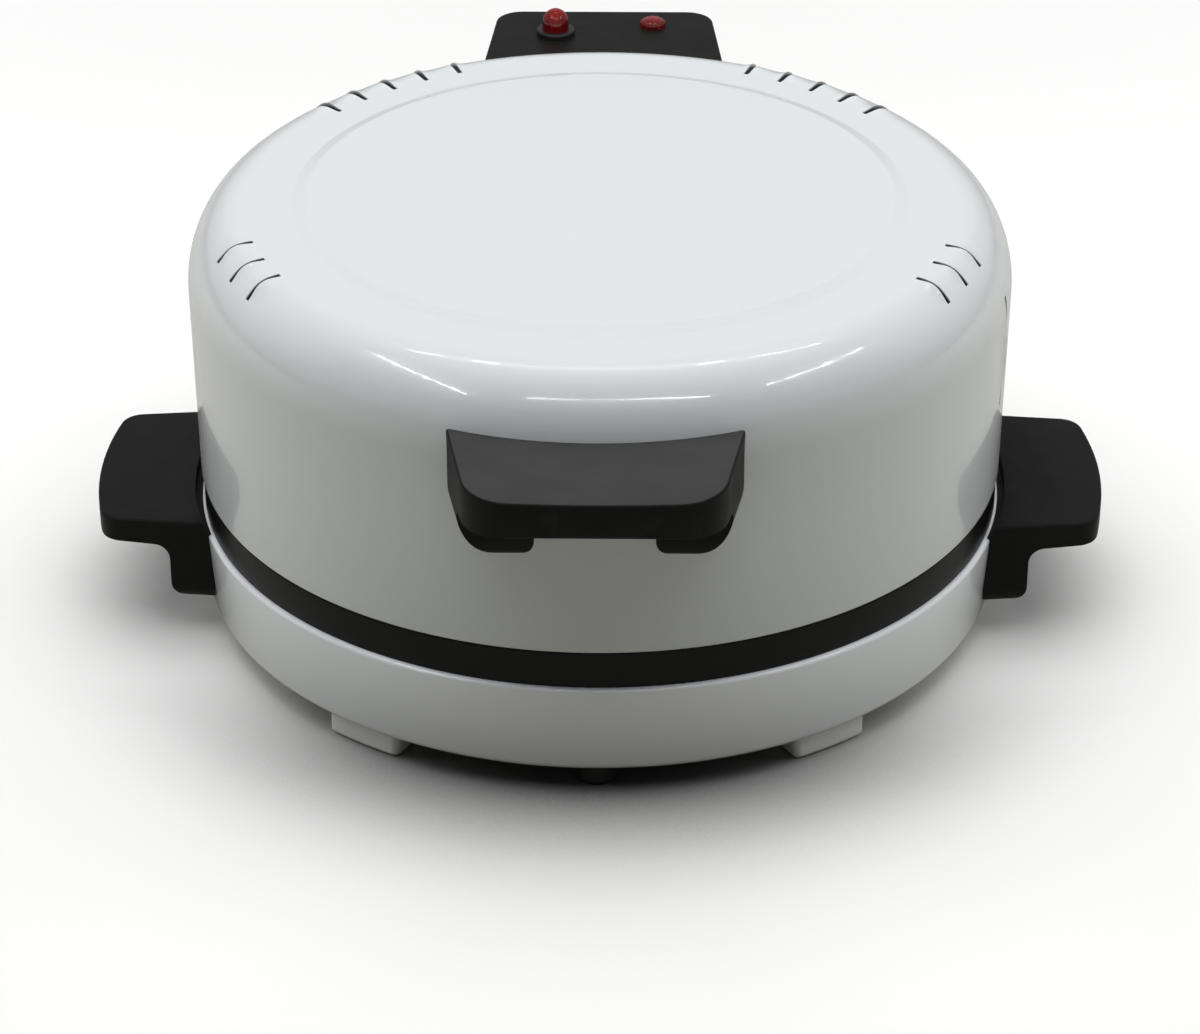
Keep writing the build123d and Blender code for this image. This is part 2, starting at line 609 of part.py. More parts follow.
# Base shell: a shallow drum with a flange below and a ledge above
base_inner = revolved(base_profile(SHEET))
base_outer = revolved(base_profile(0))
with BuildPart() as base_shell:
    add(base_outer)
    add(base_inner, mode=Mode.SUBTRACT)
    with Locations((0, 0, FOOT_HEIGHT)):
        Cylinder(BASE_BOTTOM_R - BASE_FLANGE, 4 * SHEET, mode=Mode.SUBTRACT)
    with Locations((0, 0, BASE_RIM_Z)):
        Cylinder(BASE_RIM_R - BASE_LEDGE, 4 * SHEET, mode=Mode.SUBTRACT)
    drill(
        [*side_screw_planes["left"], *side_screw_planes["right"], *base_bracket_planes],
        SCREW_R + SCREW_GAP,
        SCREW_HEAD_R,
    )
    drill(cover_screw_planes, SCREW_R + SCREW_GAP, SCREW_HEAD_R)
    drill(foot_screw_planes, SCREW_R + SCREW_GAP, SCREW_HEAD_R)
    drill(base_gland_planes.values(), GLAND_BODY_R + FIT_GAP, GLAND_FLANGE_R)
save(base_shell, "base_shell")

# Base cover: a vented plate that lies on the flange
with BuildPart() as bottom_cover:
    with BuildSketch(Plane.XY.offset(FOOT_HEIGHT + SHEET)):
        Circle(COVER_R)
        for n in range(VENT_COUNT):
            angle = n * 360 / VENT_COUNT
            with Locations(Location(polar(VENT_CIRCLE_R, angle), (0, 0, angle))):
                SlotOverall(VENT_LENGTH, VENT_WIDTH, mode=Mode.SUBTRACT)
    extrude(amount=SHEET)
    drill(cover_screw_planes, SCREW_R + SCREW_GAP, SCREW_HEAD_R)
    drill(foot_screw_planes, SCREW_R + SCREW_GAP, SCREW_HEAD_R)
save(bottom_cover, "bottom_cover")
screws(cover_screw_planes, BRACKET_SCREW_LENGTH, "cover_screws")
screws(foot_screw_planes, SCREW_LENGTH - SHEET, "foot_screws")

# Feet: four blocks under the flange and a round one at the front
for name, angle in foot_angles.items():
    with BuildPart() as foot:
        with BuildSketch() as sole:
            with BuildLine():
                inner = CenterArc((0, 0), FOOT_INNER_R, angle - FOOT_WIDTH_ANGLE / 2, FOOT_WIDTH_ANGLE)
                outer = CenterArc((0, 0), FOOT_OUTER_R, angle - FOOT_WIDTH_ANGLE / 2, FOOT_WIDTH_ANGLE)
                Line(inner @ 0, outer @ 0)
                Line(inner @ 1, outer @ 1)
            make_face()
            fillet(sole.vertices(), FOOT_EDGE_ROUND)
        extrude(amount=FOOT_HEIGHT)
        fillet(foot.faces().sort_by(Axis.Z)[0].edges(), FOOT_SOLE_ROUND)
        drill(foot_screw_planes, SCREW_R + SCREW_GAP, SCREW_LENGTH)
    save(foot, name)

with BuildPart() as front_centre_foot:
    with Locations(polar(FOOT_SCREW_R, -90)):
        Cylinder(CENTRE_FOOT_R, FOOT_HEIGHT, align=(Align.CENTER, Align.CENTER, Align.MIN))
    fillet(front_centre_foot.faces().sort_by(Axis.Z)[0].edges(), CENTRE_FOOT_SOLE_ROUND)
    drill(foot_screw_planes, SCREW_R + SCREW_GAP, SCREW_LENGTH)
save(front_centre_foot, "front_centre_foot")

# Side handles on the base wall
side_moulding = handle_moulding(
    BASE_RIM_R, SIDE_HANDLE_WALL_HALF, SIDE_HANDLE_FRONT_HALF, SIDE_HANDLE_REACH, SIDE_HANDLE_BOW,
    SIDE_HANDLE_CORNER_R, SIDE_HANDLE_LIP_R, SIDE_HANDLE_TOP_Z, SIDE_HANDLE_DROP, SIDE_HANDLE_SHELF,
    SIDE_HANDLE_LEG_SHARE, SIDE_HANDLE_LEG_WIDTH, SIDE_HANDLE_LEG_HEIGHT,
)
for side, turn in (("left", -90), ("right", 90)):
    with BuildPart() as side_handle:
        add(side_moulding, rotation=(0, 0, turn))
        add(base_envelope.part, mode=Mode.SUBTRACT)
        drill(side_screw_planes[side], SCREW_R + SCREW_GAP, SCREW_LENGTH + FIT_GAP)
    save(side_handle, f"{side}_handle")
    screws(side_screw_planes[side], SCREW_LENGTH, f"{side}_handle_screws")

# Baking plate: a round plate in a band that stands on the base's ledge
with BuildPart() as baking_plate:
    with BuildSketch(Plane.XZ) as section:
        with BuildLine():
            Polyline(
                (0, PLATE_TOP_Z),
                (BAND_R - BAND_WALL, PLATE_TOP_Z),
                (BAND_R - BAND_WALL, BAND_TOP_Z),
                (BAND_R, BAND_TOP_Z),
                (BAND_R, BASE_RIM_Z),
                (BASE_RIM_R - BASE_LEDGE - SPIGOT_GAP, BASE_RIM_Z),
                (BASE_RIM_R - BASE_LEDGE - SPIGOT_GAP, BASE_RIM_Z - SPIGOT_DEPTH),
                (BASE_RIM_R - BASE_LEDGE - SPIGOT_GAP - SPIGOT_WALL, BASE_RIM_Z - SPIGOT_DEPTH),
                (BASE_RIM_R - BASE_LEDGE - SPIGOT_GAP - SPIGOT_WALL, PLATE_UNDER_Z),
                (0, PLATE_UNDER_Z),
                close=True,
            )
        make_face()
        fillet(section.vertices().sort_by_distance((BAND_R - BAND_WALL, PLATE_TOP_Z))[0], PLATE_CORNER_R)
        fillet(section.vertices().group_by(Axis.Y)[-1], BAND_EDGE_ROUND)
    revolve(axis=Axis.Z)
save(baking_plate, "baking_plate")

# Lower element, its reflector, supports and posts
element(LOWER_ELEMENT_Z, ELEMENT_END_Y, "lower_element")
supports(
    LOWER_ELEMENT_Z, REFLECTOR_Z + THIN_SHEET + FIT_GAP, LOWER_ELEMENT_Z + SUPPORT_LIP, "lower_element_supports"
)
with BuildPart() as lower_reflector:
    with BuildSketch(Plane.XZ):
        with BuildLine():
            FilletPolyline(
                (0, REFLECTOR_Z),
                (REFLECTOR_FLAT_R, REFLECTOR_Z),
                (REFLECTOR_R, REFLECTOR_Z + REFLECTOR_RISE),
                radius=REFLECTOR_BEND_R,
            )
            offset(amount=THIN_SHEET, side=Side.LEFT)
        make_face()
    revolve(axis=Axis.Z)
save(lower_reflector, "lower_reflector")
with BuildPart() as reflector_posts:
    with BuildSketch(Plane.XY.offset(COVER_TOP_Z)):
        with PolarLocations(POST_CIRCLE_R, POST_COUNT, start_angle=180 / POST_COUNT):
            RegularPolygon(POST_ACROSS_FLATS / 2, 6, major_radius=False)
    extrude(amount=POST_HEIGHT - FIT_GAP)
save(reflector_posts, "reflector_posts")

# Thermostat against the plate, held up by a bent strip on the reflector
strip_z = PLATE_UNDER_Z - FIT_GAP - THERMOSTAT_HEIGHT
with BuildPart() as thermostat:
    with Locations((0, 0, strip_z)):
        Cylinder(THERMOSTAT_R, THERMOSTAT_HEIGHT, align=(Align.CENTER, Align.CENTER, Align.MIN))
    chamfer(thermostat.edges().group_by(Axis.Z)[-1], THIN_SHEET)
save(thermostat, "thermostat")
with BuildPart() as thermostat_bracket:
    half_span, floor = THERMOSTAT_STRIP_SPAN / 2, REFLECTOR_Z + THIN_SHEET + FIT_GAP
    with BuildSketch(Plane.XZ):
        with BuildLine():
            FilletPolyline(
                (-half_span - THERMOSTAT_STRIP_TOE, floor),
                (-half_span, floor),
                (-half_span, strip_z - SHEET),
                (half_span, strip_z - SHEET),
                (half_span, floor),
                (half_span + THERMOSTAT_STRIP_TOE, floor),
                radius=2 * SHEET,
            )
            offset(amount=SHEET, side=Side.LEFT)
        make_face()
    extrude(amount=THERMOSTAT_STRIP_WIDTH / 2, both=True)
save(thermostat_bracket, "thermostat_bracket")

# Terminal block and earth screw on the cover
with BuildPart() as terminal_block:
    place = Plane(origin=polar(BLOCK_CIRCLE_R, BLOCK_ANGLE, COVER_TOP_Z), x_dir=polar(1, BLOCK_ANGLE + 90))
    with BuildSketch(place):
        RectangleRounded(BLOCK_LENGTH, BLOCK_WIDTH, 2)
    extrude(amount=BLOCK_HEIGHT)
    crown = place.offset(BLOCK_HEIGHT)
    clamps = [crown * Location((side * BLOCK_SCREW_SPACING / 2, 0, 0)) for side in (-1, 1)]
    drill(clamps, SCREW_R, BLOCK_HEIGHT / 2)
save(terminal_block, "terminal_block")
with BuildPart() as earth_screw:
    with Locations(polar(EARTH_CIRCLE_R, EARTH_ANGLE, COVER_TOP_Z)):
        Cylinder(SCREW_R, EARTH_STUD_LENGTH, align=(Align.CENTER, Align.CENTER, Align.MIN))
    with BuildSketch(Plane.XY.offset(COVER_TOP_Z)):
        with Locations(polar(EARTH_CIRCLE_R, EARTH_ANGLE)):
            RegularPolygon(EARTH_NUT_ACROSS_FLATS / 2, 6, major_radius=False)
    extrude(amount=EARTH_NUT)
save(earth_screw, "earth_screw")

# Glands in the base wall
for name, plane in base_gland_planes.items():
    gland(name, plane, gland_r - gland_nut_r, GLAND_INNER_LENGTH)

# Lid shell
lid_outer, lid_inner = revolved(lid_profile(0)), revolved(lid_profile(SHEET))
with BuildPart() as lid_shell:
    add(lid_outer)
    add(lid_inner, mode=Mode.SUBTRACT)
    with Locations((0, 0, LID_RIM_Z)):
        Cylinder(LID_RIM_R - LID_HEM, 4 * SHEET, mode=Mode.SUBTRACT)
    with BuildSketch(Plane.XY.offset(LID_TOP_Z)):
        for angles, (low, high), sign in (
            (FRONT_LOUVRE_ANGLES, FRONT_LOUVRE_REACH, -1),
            (REAR_LOUVRE_ANGLES, REAR_LOUVRE_REACH, 1),
        ):
            for angle in [sign * a for a in angles] + [180 - sign * a for a in angles]:
                with Locations(Location(polar((low + high) / 2, angle), (0, 0, angle))):
                    SlotOverall(high - low, LOUVRE_WIDTH)
    extrude(amount=-LOUVRE_DEPTH, mode=Mode.SUBTRACT)
    for angle in SIDE_LOUVRE_ANGLES:
        with BuildSketch(radial_plane(LID_WALL_R, angle, sum(SIDE_LOUVRE_Z) / 2)):
            SlotOverall(SIDE_LOUVRE_Z[1] - SIDE_LOUVRE_Z[0], LOUVRE_WIDTH, rotation=90)
        extrude(amount=LOUVRE_WIDTH * 2, both=True, mode=Mode.SUBTRACT)
    drill([*front_screw_planes, *housing_screw_planes, *lid_bracket_planes], SCREW_R + SCREW_GAP, SCREW_HEAD_R)
    drill([grommet_plane], GROMMET_NECK_R + FIT_GAP, GROMMET_R)
save(lid_shell, "lid_shell")

# Lid liner: a plain dome whose flange lies on the lid's hem
flange_z = LID_RIM_Z + SHEET + FIT_GAP
bush_planes = [
    Plane(origin=(side * ELEMENT_LEG_X, BUSH_SEAT_Y, UPPER_ELEMENT_Z), z_dir=(0, 1, 0)) for side in (-1, 1)
]
with BuildPart() as lid_liner:
    with BuildSketch(Plane.XZ):
        with BuildLine():
            FilletPolyline(
                (LID_RIM_R - SHEET - LINER_FLANGE_GAP, flange_z + THIN_SHEET),
                (LINER_R, flange_z + THIN_SHEET),
                (LINER_R, LINER_TOP_Z),
                (0, LINER_TOP_Z),
                radius=[LID_RIM_ROUND, LINER_SHOULDER_R],
            )
            offset(amount=THIN_SHEET, side=Side.LEFT)
        make_face()
    revolve(axis=Axis.Z)
    drill(bush_planes, BUSH_R + FIT_GAP, BUSH_BODY_LENGTH)
save(lid_liner, "lid_liner")

# Upper element, its supports and the ceramic bushes where its ends leave the liner
element(UPPER_ELEMENT_Z, ELEMENT_END_Y, "upper_element")
supports(
    UPPER_ELEMENT_Z,
    UPPER_ELEMENT_Z - SUPPORT_LIP,
    LINER_TOP_Z - THIN_SHEET - FIT_GAP,
    "upper_element_supports",
)
with BuildPart() as element_bushes:
    with Locations(*bush_planes):
        Cylinder(BUSH_R, BUSH_BODY_LENGTH, align=(Align.CENTER, Align.CENTER, Align.MIN))
        Cylinder(BUSH_COLLAR_R, BUSH_COLLAR, align=(Align.CENTER, Align.CENTER, Align.MAX))
    drill(bush_planes, ELEMENT_R + FIT_GAP, BUSH_BODY_LENGTH)
save(element_bushes, "element_bushes")

# Front handle on the lid
front_moulding = handle_moulding(
    LID_WALL_R, FRONT_HANDLE_WALL_HALF, FRONT_HANDLE_FRONT_HALF, FRONT_HANDLE_REACH, FRONT_HANDLE_BOW,
    FRONT_HANDLE_CORNER_R, FRONT_HANDLE_LIP_R, FRONT_HANDLE_TOP_Z, FRONT_HANDLE_DROP, FRONT_HANDLE_SHELF,
    FRONT_HANDLE_LEG_SHARE, FRONT_HANDLE_LEG_WIDTH, FRONT_HANDLE_LEG_HEIGHT,
)
with BuildPart() as front_handle:
    add(front_moulding)
    add(lid_envelope, mode=Mode.SUBTRACT)
    drill(front_screw_planes, SCREW_R + SCREW_GAP, SCREW_LENGTH + FIT_GAP)
save(front_handle, "front_handle")
screws(front_screw_planes, SCREW_LENGTH, "front_handle_screws")

# Rear housing: a hollow box on the lid, open towards the wall
def housing_block(inset):
    """The housing's outline as a solid that reaches inside the lid, drawn this far inside its outer skin."""
    wall_half, back_half, reach = HOUSING_WALL_HALF - inset, HOUSING_BACK_HALF - inset, HOUSING_REACH - inset
    taper = (wall_half - back_half) / (reach + HANDLE_SHOULDER_Y)
    root_half = wall_half + taper * (HANDLE_ROOT_Y - HANDLE_SHOULDER_Y)
    with BuildPart() as block:
        with BuildSketch(Plane.XY.offset(housing_low + inset)) as plan:
            with BuildLine():
                Polyline(
                    (-root_half, -HANDLE_ROOT_Y),
                    (-back_half, reach),
                    (back_half, reach),
                    (root_half, -HANDLE_ROOT_Y),
                    close=True,
                )
            make_face()
            fillet(plan.vertices().group_by(Axis.Y)[-1], HOUSING_CORNER_R - inset)
        extrude(amount=HOUSING_HEIGHT - 2 * inset)
        with BuildSketch(Plane.YZ) as toe:
            with Locations((reach - housing_toe_r / 2 + 1, housing_low + inset + housing_toe_r / 2 - 1)):
                Rectangle(housing_toe_r + 2, housing_toe_r + 2)
            with Locations((reach - housing_toe_r, housing_low + inset + housing_toe_r)):
                Circle(housing_toe_r, mode=Mode.SUBTRACT)
        extrude(amount=2 * root_half, both=True, mode=Mode.SUBTRACT)
        top = block.faces().sort_by(Axis.Z)[-1]
        fillet(top.edges().filter_by(lambda e: e.center().Y > FIT_GAP - HANDLE_ROOT_Y), HOUSING_EDGE_ROUND)
    return block.part


lamp_places = {"tall_lamp": (-LAMP_X, TALL_LAMP_Y), "low_lamp": (LAMP_X, LOW_LAMP_Y)}
lamp_planes = [Plane(origin=(x, y, HOUSING_TOP_Z)) for x, y in lamp_places.values()]
housing_outer, housing_inner = housing_block(0), housing_block(HOUSING_SHELL)
with BuildPart() as housing_space:
    add(housing_inner)
    with Locations(*housing_screw_planes):
        Box(2 * HOUSING_BOSS, HOUSING_BOSS, 2 * HOUSING_BOSS_DEPTH, mode=Mode.SUBTRACT)
with BuildPart() as rear_housing:
    add(housing_outer)
    add(housing_space, mode=Mode.SUBTRACT)
    add(lid_envelope, mode=Mode.SUBTRACT)
    drill(housing_screw_planes, SCREW_R + SCREW_GAP, SCREW_LENGTH + FIT_GAP)
    drill(lamp_planes, LAMP_BODY_R + FIT_GAP, HOUSING_TOE_R)
    drill([housing_gland_plane], GLAND_BODY_R + FIT_GAP, GLAND_FLANGE_R)
save(rear_housing, "rear_housing")
screws(housing_screw_planes, SCREW_LENGTH, "housing_screws")

# Pilot lamps: a tall domed one in a black ring and a low one
for name, (x, y) in lamp_places.items():
    lens_r, straight, height = (
        (TALL_LENS_R, TALL_LENS_STRAIGHT, TALL_LENS_HEIGHT)
        if name == "tall_lamp"
        else (LOW_LENS_R, LOW_LENS_EDGE, LOW_LENS_HEIGHT)
    )
    seat = HOUSING_TOP_Z + FIT_GAP
    with BuildPart() as lamp_body:
        with Locations((x, y, seat)):
            Cylinder(LAMP_BODY_R, LAMP_BODY_LENGTH, align=(Align.CENTER, Align.CENTER, Align.MAX))
            Cylinder(LAMP_COLLAR_R, LAMP_COLLAR, align=(Align.CENTER, Align.CENTER, Align.MIN))
    save(lamp_body, f"{name}_body")
    with BuildPart() as lamp_lens:
        with BuildSketch(Plane(origin=(x, y, seat), x_dir=(1, 0, 0), z_dir=(0, -1, 0))):
            with BuildLine():
                side = Polyline(
                    (0, LENS_RECESS),
                    (LENS_RECESS_R, LENS_RECESS),
                    (LENS_RECESS_R, 0),
                    (lens_r, 0),
                    (lens_r, straight),
                )
                dome = Spline((lens_r, straight), (0, height), tangents=[(0, 1), (-1, 0)])
                Line(dome @ 1, side @ 0)
            make_face()
        revolve(axis=Axis((x, y, 0), (0, 0, 1)))
    save(lamp_lens, f"{name}_lens")

with BuildPart() as tall_lamp_bezel:
    with Locations((-LAMP_X, TALL_LAMP_Y, HOUSING_TOP_Z + FIT_GAP)):
        Cylinder(TALL_BEZEL_R, TALL_BEZEL_HEIGHT, align=(Align.CENTER, Align.CENTER, Align.MIN))
    fillet(tall_lamp_bezel.edges().group_by(Axis.Z)[-1], TALL_BEZEL_HEIGHT / 3)
    drill([lamp_planes[0]], TALL_LENS_R + LENS_GAP, HOUSING_TOE_R)
save(tall_lamp_bezel, "tall_lamp_bezel")
with BuildPart() as lamp_nuts:
    for plane in lamp_planes:
        with BuildSketch(plane.offset(-HOUSING_SHELL - FIT_GAP)):
            RegularPolygon(LAMP_NUT_ACROSS_FLATS / 2, 6, major_radius=False)
            Circle(LAMP_BODY_R + FIT_GAP, mode=Mode.SUBTRACT)
        extrude(amount=-LAMP_NUT)
save(lamp_nuts, "lamp_nuts")

# Gland in the housing's underside and grommet in the lid's wall behind the housing
gland("lid_lead_gland", housing_gland_plane, HOUSING_SHELL + 2 * FIT_GAP, GLAND_INNER_LENGTH)
grommet_outer_r = LID_WALL_R + FIT_GAP
grommet_inner_r = sqrt((lid_wall_r(GROMMET_Z - GROMMET_R) - SHEET) ** 2 - GROMMET_R**2) - FIT_GAP
with BuildPart() as lid_wall_grommet:
    with Locations(radial_plane(grommet_outer_r, 90, GROMMET_Z)):
        Cylinder(GROMMET_R, GROMMET_LIP, align=(Align.CENTER, Align.CENTER, Align.MIN))
        Cylinder(
            GROMMET_NECK_R, grommet_outer_r - grommet_inner_r, align=(Align.CENTER, Align.CENTER, Align.MAX)
        )
    with Locations(radial_plane(grommet_inner_r, 90, GROMMET_Z)):
        Cylinder(GROMMET_R, GROMMET_LIP, align=(Align.CENTER, Align.CENTER, Align.MAX))
    drill([grommet_plane], GROMMET_BORE_R, GROMMET_R)
save(lid_wall_grommet, "lid_wall_grommet")

# Hinge: the base bracket's ears and their stop bar, the lid bracket's arms, the pin and its clip
arm_angle = radians(LID_OPEN_ANGLE) - atan2(LID_ARM_LEAN, LID_ARM_RISE)
stop_run = (STOP_Y - PIN_Y - LID_ARM_R * cos(arm_angle)) / sin(arm_angle)
stop_top = PIN_Z - LID_ARM_R * sin(arm_angle) + stop_run * cos(arm_angle) - STOP_GAP
pin_hole_plane = Plane(origin=(0, PIN_Y, PIN_Z), z_dir=(1, 0, 0))
wall_y = BASE_RIM_R - BRACKET_SHEET
base_skin = revolved(base_profile(-FIT_GAP - BRACKET_SHEET))
base_plate = curved_bracket(*BASE_BRACKET_Z, base_skin)
with BuildPart() as hinge_base_bracket:
    add(base_plate)
    for x in (-BASE_EAR_X - EAR_THICKNESS, BASE_EAR_X):
        with BuildSketch(Plane.YZ.offset(x)):
            with Locations((PIN_Y, PIN_Z)):
                Circle(BASE_EAR_R)
            with BuildLine():
                Polyline(
                    (wall_y - BASE_EAR_R, BASE_BRACKET_Z[0] + BRACKET_CORNER_R),
                    (wall_y + BRACKET_SHEET, BASE_BRACKET_Z[0] + BRACKET_CORNER_R),
                    (STOP_Y + STOP_THICKNESS, stop_top - STOP_HEIGHT),
                    (STOP_Y + STOP_THICKNESS, stop_top),
                    (wall_y - BASE_EAR_R, BASE_BRACKET_Z[1]),
                    close=True,
                )
            make_face()
            make_hull()
        extrude(amount=EAR_THICKNESS)
    with Locations((0, STOP_Y + STOP_THICKNESS / 2, stop_top - STOP_HEIGHT / 2)):
        Box(2 * BASE_EAR_X + FIT_GAP, STOP_THICKNESS, STOP_HEIGHT)
    add(base_envelope.part, mode=Mode.SUBTRACT)
    drill(base_bracket_planes, SCREW_R + SCREW_GAP, SCREW_HEAD_R + BRACKET_SHEET)
    drill([pin_hole_plane], PIN_R + RUN_GAP, BRACKET_HALF_X)
save(hinge_base_bracket, "hinge_base_bracket")
screws(base_bracket_planes, BRACKET_SCREW_LENGTH, "hinge_base_screws")

lid_skin = revolved(lid_profile(-FIT_GAP - BRACKET_SHEET))
lid_plate = curved_bracket(*LID_BRACKET_Z, lid_skin)
with BuildPart() as hinge_lid_bracket:
    add(lid_plate)
    for x in (-LID_ARM_X - EAR_THICKNESS, LID_ARM_X):
        with BuildSketch(Plane.YZ.offset(x)):
            with Locations((PIN_Y, PIN_Z), (PIN_Y - LID_ARM_LEAN, PIN_Z + LID_ARM_RISE)):
                Circle(LID_ARM_R)
            make_hull()
            with BuildLine():
                Polyline(
                    (wall_y - LID_ARM_R, LID_BRACKET_Z[0]),
                    (PIN_Y - LID_ARM_R, LID_BRACKET_Z[0]),
                    (PIN_Y - LID_ARM_LEAN, PIN_Z + LID_ARM_RISE + LID_ARM_R),
                    (wall_y, LID_BRACKET_Z[1] - BRACKET_CORNER_R),
                    (wall_y - LID_ARM_R, LID_BRACKET_Z[1] - BRACKET_CORNER_R),
                    close=True,
                )
            make_face()
        extrude(amount=EAR_THICKNESS)
    add(lid_envelope, mode=Mode.SUBTRACT)
    drill(lid_bracket_planes, SCREW_R + SCREW_GAP, SCREW_HEAD_R + BRACKET_SHEET)
    drill([pin_hole_plane], PIN_R + RUN_GAP, BRACKET_HALF_X)
save(hinge_lid_bracket, "hinge_lid_bracket")
screws(lid_bracket_planes, BRACKET_SCREW_LENGTH, "hinge_lid_screws")

pin_start = -BASE_EAR_X - EAR_THICKNESS - PIN_END_GAP
clip_start = -pin_start
pin_end = clip_start + CLIP_THICKNESS + PIN_TAIL
with BuildPart() as hinge_pin:
    with Locations(Plane(origin=(pin_start, PIN_Y, PIN_Z), z_dir=(1, 0, 0))):
        Cylinder(PIN_R, pin_end - pin_start, align=(Align.CENTER, Align.CENTER, Align.MIN))
        Cylinder(PIN_HEAD_R, PIN_HEAD, align=(Align.CENTER, Align.CENTER, Align.MAX))
    chamfer(hinge_pin.edges().group_by(Axis.X)[-1], PIN_R / 5)
    chamfer(hinge_pin.edges().group_by(Axis.X)[0], PIN_R / 5)
    with BuildSketch(Plane.YZ.offset(clip_start - FIT_GAP)):
        with Locations((PIN_Y, PIN_Z)):
            Circle(PIN_HEAD_R)
            Circle(PIN_GROOVE_R, mode=Mode.SUBTRACT)
    extrude(amount=CLIP_THICKNESS + 2 * FIT_GAP, mode=Mode.SUBTRACT)
save(hinge_pin, "hinge_pin")
with BuildPart() as hinge_pin_clip:
    with BuildSketch(Plane.YZ.offset(clip_start)):
        with Locations((PIN_Y, PIN_Z)):
            Circle(CLIP_R)
            Circle(PIN_GROOVE_R + FIT_GAP, mode=Mode.SUBTRACT)
        with Locations((PIN_Y, PIN_Z - CLIP_R)):
            Rectangle(PIN_GROOVE_R * 1.5, 2 * CLIP_R, mode=Mode.SUBTRACT)
    extrude(amount=CLIP_THICKNESS)
save(hinge_pin_clip, "hinge_pin_clip")

# Leads from the terminal block to the lower element, and from the upper element to the lamps
block_face = Plane(origin=polar(BLOCK_CIRCLE_R, BLOCK_ANGLE, BLOCK_LEAD_Z), x_dir=polar(1, BLOCK_ANGLE - 90))
pin_tip_y = ELEMENT_END_Y + ELEMENT_PIN_LENGTH + FIT_GAP
lead_back_y = pin_tip_y + LEAD_BEND_R + 2 * LEAD_R
face_v, upper_z, lower_z = BLOCK_WIDTH / 2 + FIT_GAP, LOWER_ELEMENT_Z, LOWER_ELEMENT_Z - 2.5 * LEAD_BEND_R
block_exits = [
    [block_face.from_local_coords((u, v, 0)) for v in (face_v, face_v + LEAD_PITCH * 2)] for u in BLOCK_LEAD_X
]
leads(
    [
        [
            *block_exits[0],
            polar(LEAD_RISE_R[0], LEAD_RISE_ANGLE[0], BLOCK_LEAD_Z),
            polar(LEAD_RISE_R[0], LEAD_RISE_ANGLE[0], upper_z),
            (-ELEMENT_LEG_X, lead_back_y, upper_z),
            (-ELEMENT_LEG_X, pin_tip_y, upper_z),
        ],
        [
            *block_exits[1],
            polar(LEAD_RISE_R[1], LEAD_RISE_ANGLE[1], BLOCK_LEAD_Z),
            polar(LEAD_RISE_R[1], LEAD_RISE_ANGLE[1], lower_z),
            polar(LEAD_CROSS_R, LEAD_CROSS_ANGLE, lower_z),
            (ELEMENT_LEG_X, lead_back_y, lower_z),
            (ELEMENT_LEG_X, lead_back_y, upper_z),
            (ELEMENT_LEG_X, pin_tip_y, upper_z),
        ],
    ],
    "base_leads",
)
lamp_low_z = HOUSING_TOP_Z - LAMP_BODY_LENGTH
leads(
    [
        [
            (sign * ELEMENT_LEG_X, pin_tip_y, UPPER_ELEMENT_Z),
            (sign * ELEMENT_LEG_X, lead_back_y, UPPER_ELEMENT_Z),
            (sign * LEAD_PITCH / 2, lead_back_y, GROMMET_Z),
            (sign * LEAD_PITCH / 2, y, GROMMET_Z),
            (x, y, GROMMET_Z),
            (x, y, lamp_low_z),
        ]
        for sign, (x, y) in zip((-1, 1), lamp_places.values())
    ],
    "lid_leads",
)
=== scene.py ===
import json
import logging
import math
from dataclasses import dataclass
from enum import Enum

import bmesh
import bpy
import numpy as np
from mathutils import Matrix, Vector


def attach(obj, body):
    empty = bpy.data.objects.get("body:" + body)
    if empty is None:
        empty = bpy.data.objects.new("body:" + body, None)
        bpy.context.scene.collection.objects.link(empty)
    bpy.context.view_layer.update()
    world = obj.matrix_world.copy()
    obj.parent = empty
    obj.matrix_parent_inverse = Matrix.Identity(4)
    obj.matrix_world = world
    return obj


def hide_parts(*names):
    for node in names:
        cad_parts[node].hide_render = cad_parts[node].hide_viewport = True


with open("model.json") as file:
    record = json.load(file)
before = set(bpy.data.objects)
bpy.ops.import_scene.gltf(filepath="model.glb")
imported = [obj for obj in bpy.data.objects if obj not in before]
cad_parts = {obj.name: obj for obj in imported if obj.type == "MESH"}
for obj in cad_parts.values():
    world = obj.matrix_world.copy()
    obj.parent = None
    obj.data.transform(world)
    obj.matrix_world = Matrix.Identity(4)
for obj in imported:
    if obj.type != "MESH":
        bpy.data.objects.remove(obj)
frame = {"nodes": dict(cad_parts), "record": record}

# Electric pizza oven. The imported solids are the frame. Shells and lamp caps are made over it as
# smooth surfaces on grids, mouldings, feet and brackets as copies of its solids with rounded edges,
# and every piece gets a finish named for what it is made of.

Tree = bpy.types.NodeTree
Socket = bpy.types.NodeSocket

LOG = logging.getLogger("pizza_oven")
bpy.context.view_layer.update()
MM = 0.001
MERGE_M = 1e-6  # points of a grid nearer than this are one
SOLID_MERGE_M = 2e-6  # the same for a copy of a solid's mesh
FLAT_DEGREES = 0.6  # faces of a copy that turn less than this are joined
EDGE_DEGREES = 32.0  # edges of a copy that turn more than this are rounded
EDGE_SEGMENTS = 3
SMUDGES_PER_SHADE = 2.3  # the gloss varies in patches this much finer than the colour's
MIX_FACTOR, MIX_A, MIX_B, MIX_RESULT = 0, 6, 7, 2  # a Mix node's sockets when it mixes colours


class Body(Enum):
    """The two rigid bodies that pieces ride on."""

    BASE = "base"
    LID = "lid"


